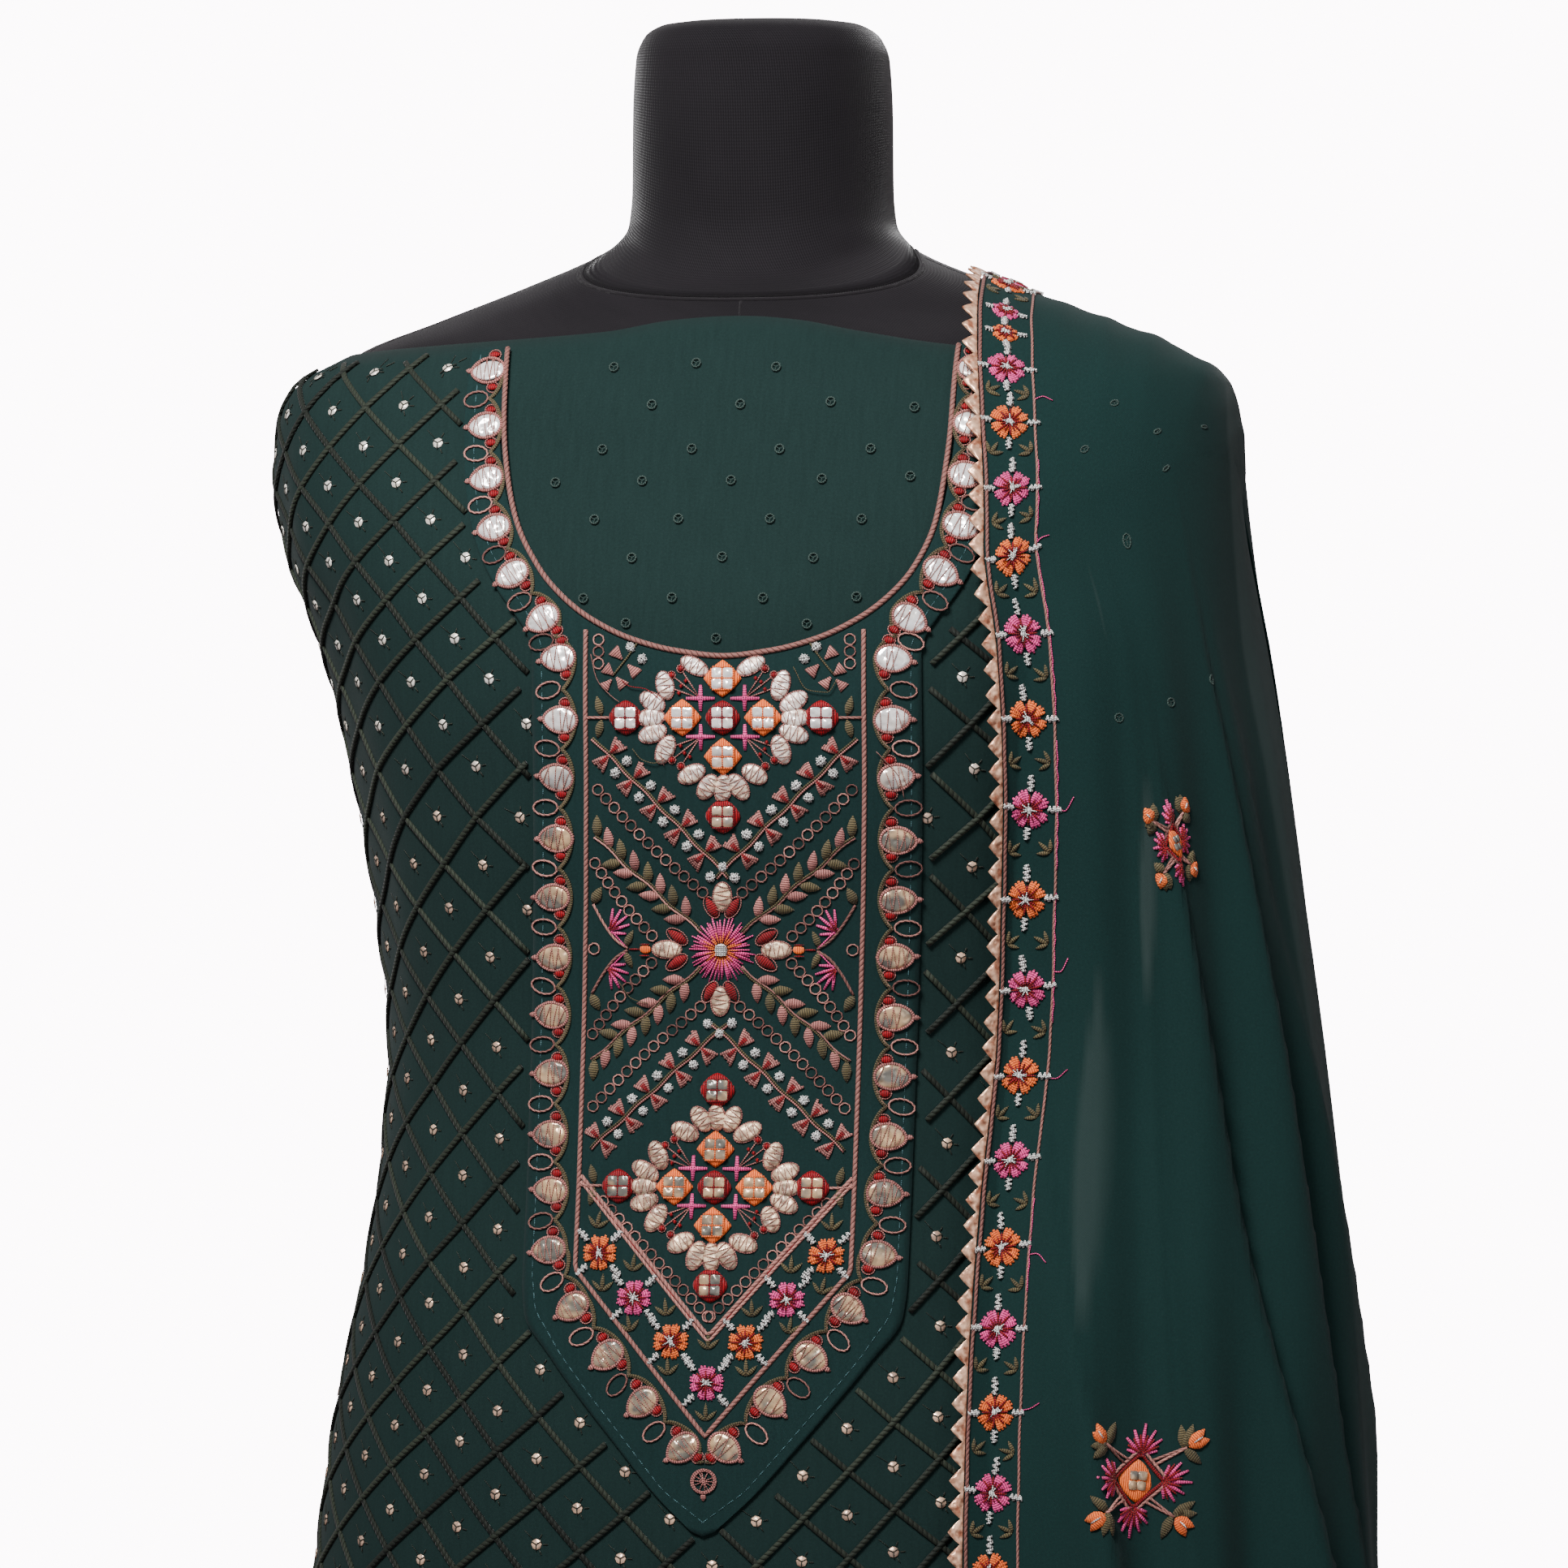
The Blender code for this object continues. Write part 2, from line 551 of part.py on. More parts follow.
def hanging(levels, across, lift):
    """Plan curves of a fall: each leaves the kameez at its inner edge and bends to the side."""
    z, edge_x, bend_x, bend_y, side_x, side_y = (np.array(c)[:, None] for c in zip(*levels))
    front = np.sign(bend_y)
    ring = at_height(KAMEEZ, z)
    deep = np.where(front < 0, ring.front, ring.back)
    edge_y = front * deep * (1 - (edge_x / ring.right) ** ring.square) ** (1 / ring.square)
    start, bend, end = (1 - across) ** 2, 2 * across * (1 - across), across**2
    x = start * edge_x + bend * bend_x + end * side_x
    y = start * edge_y + bend * bend_y + end * side_y
    points = np.stack(np.broadcast_arrays(x, y, z), axis=-1)
    push = np.maximum(1.0, 1.0 / inside(points, lift))[..., None]
    return points * np.concatenate([push, push, np.ones_like(push)], axis=-1)


def dupatta_rows(across):
    """The chiffon's outer face: rows from the front hem over the shoulder to the back hem."""
    edge = EDGE_LIFT * (1 - np.clip(across / 0.35, 0, 1)) ** 2
    lift = CHIFFON + REST_LIFT + edge
    count = int(2 * REACH_INNER / SHOULDER_STEP) // 2 * 2
    share = np.linspace(-1, 1, count + 1)
    front = hanging(FRONT_FALL, across, lift[None, :])
    top = over_shoulder(across, share, lift[None, :])
    back = hanging(BACK_FALL, across, lift[None, :])
    base = np.concatenate([front, top, back])
    middle = len(front) + count // 2
    out = surface_normals(base)
    row = np.arange(len(base))
    down_front = np.clip((middle - row - 4) / (middle - 4), 0, 1)[:, None]
    down_back = np.clip((row - middle - 4) / (len(base) - 1 - middle - 4), 0, 1)[:, None]
    height = np.zeros(base.shape[:2])
    for ridges, down in ((FRONT_RIDGES, down_front), (BACK_RIDGES, down_back)):
        for ridge in ridges:
            place = ridge.top + (ridge.hem - ridge.top) * down
            shape = np.exp(-(((across[None, :] - place) / ridge.width) ** 2))
            height += ridge.depth * down**0.8 * shape
    return base + out * height[..., None], middle


def make_dupatta(chiffon, gota):
    across = np.linspace(0, 1, FALL_COLUMNS + 1)
    points, middle = dupatta_rows(across)
    along = points[middle + 1] - points[middle - 1]
    along /= np.linalg.norm(along, axis=-1, keepdims=True)
    front, back = points[: middle + 1].copy(), points[middle:].copy()
    front[-1] -= along * GAP / 2
    back[0] += along * GAP / 2
    for name, fall in (("front", front), ("back", back)):
        sheet = grid_mesh(f"dupatta_{name}_fall", fall)
        add_wall(link(f"dupatta_{name}_fall", sheet, chiffon), CHIFFON)
        make_edging(f"dupatta_edging_{name}", fall, gota)


def make_edging(name, fall, gota):
    """A toothed strip along the fall's inner edge, in the plane of the cloth there."""
    edge, beside = fall[:, 0], fall[:, 1]
    length = np.concatenate([[0], np.cumsum(np.linalg.norm(np.diff(edge, axis=0), axis=1))])
    count = int(length[-1] / TOOTH_PITCH)
    outward = edge - beside
    outward /= np.linalg.norm(outward, axis=1, keepdims=True)

    def strip(place, reach):
        base = np.stack([np.interp(place, length, edge[:, i]) for i in range(3)], axis=1)
        way = np.stack([np.interp(place, length, outward[:, i]) for i in range(3)], axis=1)
        return base + way * reach

    roots = np.linspace(0.001, length[-1] - 0.001, count + 1)
    tips = (roots[:-1] + roots[1:]) / 2
    seam = strip(roots, 2 * GAP)
    line = strip(roots, TOOTH_BAND)
    point = strip(tips, TOOTH_BAND + TOOTH_HEIGHT)
    corners = np.concatenate([seam, line, point])
    n = count + 1
    bands = [(i, i + 1, n + i + 1, n + i) for i in range(count)]
    teeth = [(n + i, n + i + 1, 2 * n + i) for i in range(count)]
    mesh = bpy.data.meshes.new(name)
    mesh.from_pydata(corners.tolist(), [], bands + teeth)
    add_wall(link(name, mesh, gota), EDGING)


def make_seat(crepe):
    angle = np.arange(ROUND)[None, :] * 2 * math.pi / ROUND
    z = np.linspace(BELT_FOOT, BELT_TOP, 4)[:, None]
    hips = round_the_body(TORSO, angle, z)
    out = hips * (1, 1, 0)
    out /= np.linalg.norm(out, axis=-1, keepdims=True)
    belt = hips + out * (1.5 * LAY + CLOTH)
    thing = link("salwar_belt", grid_mesh("salwar_belt", belt, closed=True), crepe)
    add_wall(thing, CLOTH)

    z = np.linspace(SEAT_FOOT, BELT_FOOT - GAP, 5)[:, None]
    seat = round_the_body(SEAT, angle, z)
    seat[-1] = belt[0]
    seat[-1, :, 2] = BELT_FOOT - GAP
    thing = link("salwar_seat", grid_mesh("salwar_seat", seat, closed=True), crepe)
    add_wall(thing, CLOTH)


def leg_surface(turn, z, side):
    """A leg's tube: half of the seat at the top, an oval at the cuff, with folds between."""
    ring = at_height(LEGS, z)
    outer = np.clip(turn / 0.72, 0, 1) * math.pi
    inner = np.clip((turn - 0.72) / 0.28, 0, 1)
    seat = round_the_body(SEAT, math.pi / 2 + outer, np.full_like(z, SEAT_FOOT))
    half_x = np.maximum(np.abs(seat[..., 0]), INSEAM_X)
    half_y = np.where(turn <= 0.72, seat[..., 1], SEAT[0].back + (-SEAT[0].front - SEAT[0].back) * inner)
    half_x = np.where(turn <= 0.72, half_x, INSEAM_X)
    around = turn * 2 * math.pi - math.pi * 0.72
    oval_x = ring.middle + ring.half * np.cos(around)
    oval_y = ring.depth * np.sin(around)
    x = ring.share * half_x + (1 - ring.share) * oval_x
    y = ring.share * half_y + (1 - ring.share) * oval_y
    pinch = np.clip((z - CUFF_TOP) / 0.05, 0, 1) * np.clip((SEAT_FOOT - z) / 0.20, 0, 1)
    wave = LEG_FOLD_DEPTH * pinch * np.cos(LEG_FOLDS * around) * np.clip(2 - 2 * np.abs(inner), 0, 1)
    x = x + wave * np.cos(around) * (1 - inner)
    y = y + wave * np.sin(around)
    x = np.maximum(x, INSEAM_X)
    return np.stack(np.broadcast_arrays(side * x, y, z), axis=-1)


def make_legs(crepe):
    turn = np.arange(LEG_COLUMNS)[None, :] / LEG_COLUMNS
    for side, hand in ((-1, "left"), (1, "right")):
        leg_z = np.linspace(LEG_FOOT, SEAT_FOOT - GAP, 10)
        cuff_z = np.linspace(CUFF_FOOT, CUFF_TOP, 2)
        for part, z in (("leg", leg_z), ("cuff", cuff_z)):
            points = leg_surface(turn, z[:, None], side)
            points = points[::side]
            name = f"salwar_{hand}_{part}"
            add_wall(link(name, grid_mesh(name, points, closed=True), crepe), CLOTH)


def main():
    clear_scene()
    suit = bpy.data.collections.new("salwar_kameez_suit")
    bpy.context.scene.collection.children.link(suit)
    root = bpy.data.objects.new("suit_on_form", None)
    suit.objects.link(root)

    jersey = material("jersey", (0.018, 0.017, 0.020), 0.85)
    steel = material("steel", (0.62, 0.62, 0.63), 0.22, 1.0)
    georgette = material("green_georgette", (0.006, 0.030, 0.026), 0.75)
    chiffon = material("green_chiffon", (0.008, 0.045, 0.036), 0.70)
    crepe = material("green_crepe", (0.007, 0.034, 0.029), 0.80)
    gota = material("gota", (0.78, 0.56, 0.42), 0.35, 0.7)

    make_form(jersey)
    make_stand(steel)
    make_kameez(georgette)
    make_patch(georgette)
    make_dupatta(chiffon, gota)
    make_seat(crepe)
    make_legs(crepe)


main()
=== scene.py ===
import math

import bpy
import numpy as np
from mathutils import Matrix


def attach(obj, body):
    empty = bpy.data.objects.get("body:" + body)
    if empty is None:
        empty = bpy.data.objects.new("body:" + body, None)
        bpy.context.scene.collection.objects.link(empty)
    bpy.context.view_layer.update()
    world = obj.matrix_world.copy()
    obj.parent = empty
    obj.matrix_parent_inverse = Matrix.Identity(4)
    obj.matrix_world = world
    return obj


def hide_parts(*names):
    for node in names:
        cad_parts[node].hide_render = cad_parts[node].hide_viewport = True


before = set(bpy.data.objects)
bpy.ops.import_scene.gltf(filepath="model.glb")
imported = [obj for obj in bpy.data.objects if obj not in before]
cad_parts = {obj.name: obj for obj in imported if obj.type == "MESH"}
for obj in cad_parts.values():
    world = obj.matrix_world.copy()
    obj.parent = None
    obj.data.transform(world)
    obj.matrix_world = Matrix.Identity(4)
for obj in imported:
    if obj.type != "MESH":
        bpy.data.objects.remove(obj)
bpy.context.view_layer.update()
quarterTurn, fullTurn = math.pi / 2, 2 * math.pi
fourWays = ((1, 1), (-1, 1), (1, -1), (-1, -1))
fourSides = ((1, 0), (-1, 0), (0, 1), (0, -1))
dice = np.random.default_rng(11)  # one seeded source for every uneven stitch
print("frame loaded,", len(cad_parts), "nodes")


def metres(rows, *others):
    # a table written in millimetres, apart from the columns named in others
    made = np.array(rows, float)
    made[..., [column for column in range(made.shape[-1]) if column not in others]] /= 1000
    return made


# the clothed and the bare body by height: z, half widths at the viewer's left and right, depths in front
# and behind, squareness of the section
kameezRings = metres([
    (330, 232, 232, 165, 160, 2.3), (500, 226, 226, 160, 157, 2.3), (700, 214, 214, 150, 150, 2.3),
    (820, 205, 205, 142, 143, 2.3), (883, 198, 197, 138, 140, 2.3), (944, 190, 189, 134, 136, 2.3),
    (1004, 178, 177, 127, 128, 2.3), (1060, 169, 168, 121, 117, 2.3), (1110, 166, 165, 120, 109, 2.3),
    (1165, 171, 170, 127, 107, 2.3), (1210, 178, 177, 136, 108, 2.3), (1259, 188, 186, 141, 110, 2.35),
    (1296, 200, 196, 137, 111, 2.4), (1327, 212, 206, 126, 110, 2.5), (1362, 218, 211, 110, 104, 2.6),
    (1385, 216, 209, 99, 97, 2.6), (1400, 210, 205, 90, 90, 2.5), (1414.2, 186, 186, 80.5, 83, 2.4),
    (1430, 148, 148, 70, 74, 2.3),
], 5)
shoulderRings = metres([
    (1445, 105.5, 105.5, 62.5, 67.5, 2.2), (1456, 78.5, 78.5, 58.5, 64, 2.2), (1464, 64, 64, 56, 61, 2.2),
], 5)
torsoRings = metres([
    (860, 156, 156, 100, 108, 2.3), (890, 165, 165, 107, 115, 2.3), (930, 168, 168, 110, 118, 2.3),
    (1000, 152, 152, 104, 104, 2.3), (1080, 126, 126, 92, 86, 2.2), (1160, 138, 138, 104, 88, 2.2),
    (1255, 162, 162, 130, 98, 2.3), (1310, 180, 180, 121, 101, 2.4), (1360, 196, 196, 102, 96, 2.5),
    (1385, 197, 197, 92, 90, 2.6), (1400, 193, 193, 84, 84.5, 2.5), (1414.2, 182.5, 182.5, 77, 79.5, 2.4),
    (1430, 144, 144, 66.5, 70.5, 2.3), (1445, 104, 104, 61, 66, 2.2), (1456, 76.5, 76.5, 57, 62.5, 2.2),
    (1464, 62, 62, 54.5, 60, 2.2),
], 5)
neckRings = metres([
    (1430, 70, 70, 66.5, 68, 2.2), (1445, 65.5, 65.5, 61, 65, 2.2), (1464, 62, 62, 54.5, 60, 2.2),
    (1472, 59.2, 59.2, 53.5, 57.5, 2.2), (1487, 57.7, 57.7, 53.5, 56.5, 2.25),
    (1520, 57.3, 57.3, 53.5, 56.5, 2.3), (1545, 55.8, 55.8, 52, 55, 2.35), (1554.5, 52, 52, 48.5, 51.5, 2.4),
    (1559, 45.5, 45.5, 42, 45, 2.4), (1560, 39, 39, 36, 39, 2.4),
], 5)
seatRings = metres([
    (700, 180, 180, 122, 126, 2.5), (780, 178, 178, 120, 126, 2.4), (867.7, 162, 162, 105, 113, 2.3),
], 5)
# angle in degrees, height where it starts, depth and half width at the hem, sideways lean
kameezFolds = metres([
    (20, 950, 18, 9, -3), (43, 880, 15, 8, -2), (68, 840, 19, 9, 2), (97, 860, 16, 8, -1), (122, 830, 20, 9, 2),
    (149, 900, 14, 8, 3), (205, 920, 15, 9, -2), (232, 980, 18, 9, 1), (258, 1020, 16, 9, -1),
    (285, 1020, 18, 9, 1), (312, 960, 19, 9, 1), (337, 900, 15, 9, 2),
], 0, 3, 4)
# soft troughs pressed into the worn cloth: angle, height, half width in degrees, half length, depth, lean
kameezTroughs = metres([
    (18, 1345, 7, 40, 2.2, 60), (30, 1300, 6, 50, 1.8, 80), (24, 1180, 7, 60, 2, 30),
    (40, 1090, 8, 30, 1.6, -90), (60, 1365, 5, 25, 1.2, 0), (150, 1330, 6, 40, 1.4, -50),
    (52, 980, 6, 80, 2.2, 0), (126, 1000, 6, 80, 1.8, 10), (80, 930, 5, 60, 1.4, 0), (215, 1330, 7, 50, 2, 60),
    (240, 1140, 9, 40, 2.2, -60), (270, 1250, 6, 110, 1.6, 0), (300, 1150, 8, 45, 2, 60),
    (325, 1330, 7, 50, 2, -60),
], 0, 2, 5)
body = {
    "hem": 0.330, "slitTop": 0.800, "slitOpen": 0.012, "sideEdge": 0.0002,
    "cloth": 0.0012, "lay": 0.0008, "patch": 0.0010, "chiffon": 0.0010,
    "backRise": 0.012, "seamFront": 1.4358, "seamSide": 1.4610, "seamBack": 1.4630,
}
topEdge = metres([  # x and z of the kameez's upper edge in front
    (-186, 1414.2), (-115, 1417.1), (-52, 1421), (-27, 1425.7), (0, 1427.5), (22, 1425.7), (46, 1420.5),
    (75, 1415), (100, 1412.5), (186, 1411.5),
])


def unit(vectors):
    # each vector divided by its length
    return vectors / np.maximum(np.linalg.norm(vectors, axis=-1, keepdims=True), 1e-12)


def smooth(xs, ys, at):
    # monotone cubic through the points (xs, ys), level past its ends
    at = np.clip(at, xs[0], xs[-1])
    step = np.diff(xs)
    slope = np.diff(ys) / step
    product = slope[:-1] * slope[1:]
    total = np.where(product > 0, slope[:-1] + slope[1:], 1.0)
    tangent = np.concatenate([slope[:1], np.where(product > 0, 2 * product / total, 0.0), slope[-1:]])
    i = np.clip(np.searchsorted(xs, at) - 1, 0, len(xs) - 2)
    t = (at - xs[i]) / step[i]
    start = ys[i] * (1 + 2 * t) + step[i] * tangent[i] * t
    end = ys[i + 1] * (3 - 2 * t) + step[i] * tangent[i + 1] * (t - 1)
    return start * (1 - t) ** 2 + end * t * t


def ringAt(rings, z):
    # every column of a table of rings, read at the heights z
    return [smooth(rings[:, 0], column, z) for column in rings.T[1:]]


def roundBody(rings, angle, z):
    # x = half width·cos^(2/square), y = depth·sin^(2/square)
    # angle 0 is the viewer's left, a quarter turn the front
    left, right, front, back, square = ringAt(rings, z)
    along, across = -np.cos(angle), -np.sin(angle)
    wide = np.where(along < 0, left, right)
    deep = np.where(across < 0, front, back)
    x = np.sign(along) * wide * np.abs(along) ** (2 / square)
    y = np.sign(across) * deep * np.abs(across) ** (2 / square)
    return np.stack(np.broadcast_arrays(x, y, z), axis=-1)


def foldHeight(angle, z):
    # each fold is depth·down^1.3·a bell across, with down from 0 where it starts to 1 at the hem
    height = np.zeros(np.broadcast(angle, z).shape)
    for place, start, depth, width, lean in kameezFolds:
        down = np.clip((start - z) / (start - body["hem"]), 0, 1)
        across = (angle - np.radians(place + lean * down)) / np.radians(width)
        height = height + depth * down**1.3 * np.exp(-(across**2))
    return height


def troughDepth(angle, z):
    # each trough is depth·a bell across·a bell along, and leans sideways with height
    depth = np.zeros(np.broadcast(angle, z).shape)
    for place, middle, width, length, deep, lean in kameezTroughs:
        across = (np.degrees(angle) - place - lean * (z - middle)) / width
        depth = depth + deep * np.exp(-(across**2) - ((z - middle) / length) ** 2)
    return depth


def kameezPoint(angle, z):
    # the kameez's surface: the body with its folds raised and the troughs under the bust let in
    points = roundBody(kameezRings, angle, z)
    outward = unit(points * (1, 1, 0))
    return points + outward * (foldHeight(angle, z) - troughDepth(angle, z))[..., None]


def columns(*values):
    # values broadcast to one length, each as a column that a row of places can be added to
    return [value[:, None] for value in np.broadcast_arrays(*(np.atleast_1d(value) for value in values))]


def turned(x, z, u, v, spin):
    # the offset u, v, turned by spin and added to x, z
    return x + u * np.cos(spin) - v * np.sin(spin), z + u * np.sin(spin) + v * np.cos(spin)


def away(x, z, reach, turn):
    # the place that lies `reach` away from x, z in the direction `turn`
    return x + reach * np.cos(turn), z + reach * np.sin(turn)


def insideCell(grid, i, j, up, along):
    # a grid read inside its cell i, j: a mean of the four corners, weighed by how far up and along it lies
    low = grid[i, j] * (1 - along) + grid[i, j + 1] * along
    high = grid[i + 1, j] * (1 - along) + grid[i + 1, j + 1] * along
    return low * (1 - up) + high * up


def wayOut(place, angle, z, turn, drop):
    # a point of a surface and the way out of it: a small step down crossed with a small turn
    here = place(angle, z)
    return here, unit(np.cross(place(angle, z - drop) - here, place(angle + turn, z) - here))


def kameezAt(angle, z):
    # a point of the kameez and the way out of it
    return wayOut(kameezPoint, angle, z, 0.0030, 0.0005)


def angleAt(x, z):
    # the angle where the kameez's front lies at x
    left, right, front, back, square = ringAt(kameezRings, z)
    share = np.clip(np.abs(x) / np.where(x < 0, left, right), 0, 1)
    return np.arccos(-np.sign(x) * share ** (square / 2))


def onFront(x, z):
    # a place on the kameez's front by its x and z
    return kameezAt(angleAt(x, z), z)


def lengths(points, axis=0):
    # how far each point lies along its line: the lengths of the steps before it, added up
    steps = np.linalg.norm(np.diff(points, axis=axis), axis=-1)
    start = np.zeros_like(np.take(steps, [0], axis=axis))
    return np.concatenate([start, np.cumsum(steps, axis=axis)], axis=axis)


def cells(grid, lead=0, order=((0, 0), (0, 1), (1, 1), (1, 0))):
    # the four corners of each cell of a grid whose rows and columns follow its `lead` first axes
    rows, columns = grid.shape[lead], grid.shape[lead + 1]
    skip = (slice(None),) * lead
    corners = [grid[skip + (slice(a, rows - 1 + a), slice(b, columns - 1 + b))] for a, b in order]
    return np.stack(corners, axis=lead + 2)


def gridUv(points):
    # metres along the rows and up the columns, averaged so that the weave keeps its size
    u, v = lengths(points, 1), lengths(points, 0)
    u = u - u[:, points.shape[1] // 2][:, None]
    return np.stack([u, np.repeat(v.mean(axis=1)[:, None], points.shape[1], axis=1)], axis=-1)


def addPiece(name, data):
    # a named object in the scene that holds this data
    made = bpy.data.objects.new(name, data)
    bpy.context.scene.collection.objects.link(made)
    return made


def addWall(piece, thickness, offset=-1.0):
    # gives a surface a wall on its inner side, or outside it where offset is 1
    solid = piece.modifiers.new("Wall", "SOLIDIFY")
    solid.thickness, solid.offset = thickness, offset
    return piece


def finishMesh(name, points, quads, uv, tones, finish, slotName, replaced=(), caps=()):
    # a mesh of four-cornered faces and caps, with its uv, its tones, its finish and what it stands for
    mesh = bpy.data.meshes.new(name)
    if len(caps):
        mesh.from_pydata(points.tolist(), [], quads.tolist() + [list(map(int, cap)) for cap in caps])
    else:
        mesh.vertices.add(len(points))
        mesh.vertices.foreach_set("co", points.astype(np.float32).ravel())
        mesh.loops.add(quads.size)
        mesh.loops.foreach_set("vertex_index", quads.astype(np.int32).ravel())
        mesh.polygons.add(len(quads))
        mesh.polygons.foreach_set("loop_start", np.arange(len(quads), dtype=np.int32) * 4)
    mesh.update(calc_edges=True)
    mesh.shade_smooth()
    layer = mesh.uv_layers.new(name="UVMap")
    corners = np.zeros((len(mesh.loops), 2), np.float32)
    corners[: uv.shape[0] * 4] = uv.reshape(-1, 2)
    layer.data.foreach_set("uv", corners.ravel())
    tone = mesh.attributes.new("tone", "FLOAT", "POINT")
    tone.data.foreach_set("value", tones.astype(np.float32))
    mesh.materials.append(finish)
    piece = addPiece(name, mesh)
    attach(piece, "root")
    if replaced:
        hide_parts(*replaced)
    return piece


def gridPiece(name, points, finish, slotName, replaced, closed=False, caps=False, wall=0.0, tones=None):
    # rows climb and columns run left to right, so the faces look outwards
    uv = gridUv(points if not closed else np.concatenate([points, points[:, :1]], axis=1))
    rows, columns = points.shape[:2]
    index = np.arange(rows * columns).reshape(rows, columns)
    if closed:
        index = np.hstack([index, index[:, :1]])
    quads, corners = cells(index).reshape(-1, 4), cells(uv).reshape(-1, 4, 2)
    ends = (index[0, :columns][::-1], index[-1, :columns]) if caps else ()
    tones = np.zeros(rows * columns) if tones is None else tones.reshape(-1)
    piece = finishMesh(name, points.reshape(-1, 3), quads, corners, tones, finish, slotName, replaced, ends)
    return addWall(piece, wall) if wall else piece


def newBag():
    # an empty bag, to which many small pieces of one thread are added before they become one mesh
    return {"points": [], "quads": [], "uv": [], "tones": [], "count": 0}


def pour(bag, points, quads, uv, tones):
    # adds a shape to a bag, its faces counted on from those already there
    bag["points"].append(points.reshape(-1, 3))
    bag["quads"].append(quads.reshape(-1, 4) + bag["count"])
    bag["uv"].append(np.broadcast_to(uv, quads.shape + (2,)).reshape(-1, 4, 2))
    bag["tones"].append(tones.reshape(-1))
    bag["count"] += points.size // 3


def bagPiece(name, bag, finish, slotName):
    # one mesh of all that a bag holds, without the points that no face uses
    points, quads, uv, tones = (np.concatenate(bag[key]) for key in ("points", "quads", "uv", "tones"))
    used, back = np.unique(quads, return_inverse=True)
    return finishMesh(name, points[used], back.reshape(quads.shape), uv, tones[used], finish, slotName)


def fan(sides):
    # a closed ring's cap as quads that share its first corner
    return np.array([(0, i, i + 1, i + 2) for i in range(1, sides - 1, 2)])


def stitch(bag, surface, x, z, high, wide, tall, sides=6, closed=False):
    # a thread over a surface: each ring is its middle + across·wide·cos + outward·tall·sin
    x, z, high, wide, tall = np.broadcast_arrays(*(np.atleast_2d(value) for value in (x, z, high, wide, tall)))
    here, out = surface(x, z)
    tube(bag, here + out * high[..., None], out, wide, tall, sides, closed)


def tube(bag, path, out, wide, tall, sides=6, closed=False, keep=None):
    # n lines of k places each: across = tangent x out, upright = across x tangent, its seam closed where asked
    n, k = path.shape[:2]
    tangent = np.roll(path, -1, 1) - np.roll(path, 1, 1) if closed else np.gradient(path, axis=1)
    across = unit(np.cross(tangent, out))
    up = unit(np.cross(across, tangent))
    turn = (np.arange(sides) + (0.5 if sides == 4 else 0)) * fullTurn / sides
    sideways = (wide[..., None] * np.cos(turn))[..., None]
    upright = (tall[..., None] * np.sin(turn))[..., None]
    points = path[:, :, None] + across[:, :, None] * sideways + up[:, :, None] * upright
    index = np.arange(n * k * sides).reshape(n, k, sides)
    index = np.concatenate([index, index[:, :, :1]], axis=2)
    length = lengths(path, 1)
    uv = np.stack(np.broadcast_arrays(length[..., None], np.arange(sides + 1) / sides), axis=-1)
    if closed:
        index = np.concatenate([index, index[:, :1]], axis=1)
        last = uv[:, :1] + (1, 0) * (length[:, -1:, None, None] * k / (k - 1))
        uv = np.concatenate([uv, last], axis=1)
    quads, corners = (cells(grid, 1, ((0, 0), (1, 0), (1, 1), (0, 1))) for grid in (index, uv))
    tones = np.broadcast_to(dice.random(n)[:, None, None], (n, k, sides))
    live = np.ones((n, k), bool) if keep is None else keep
    joined = np.ones(quads.shape[:2], bool) if closed else live[:, :-1] & live[:, 1:]
    parts = [(quads[joined], corners[joined])]  # a line may have gaps, and each stretch of it is capped
    if not closed:
        none = np.zeros((n, 1), bool)
        before, after = np.hstack([none, joined]), np.hstack([joined, none])
        for rim, order in ((after & ~before, fan(sides)), (before & ~after, fan(sides)[:, ::-1])):
            cap = index[:, :, :sides][rim][:, order]
            parts.append((cap, np.zeros(cap.shape + (2,))))
    allQuads = np.concatenate([quad.reshape(-1, 4) for quad, _ in parts])
    allUv = np.concatenate([corner.reshape(-1, 4, 2) for _, corner in parts])
    pour(bag, points, allQuads, allUv, tones)


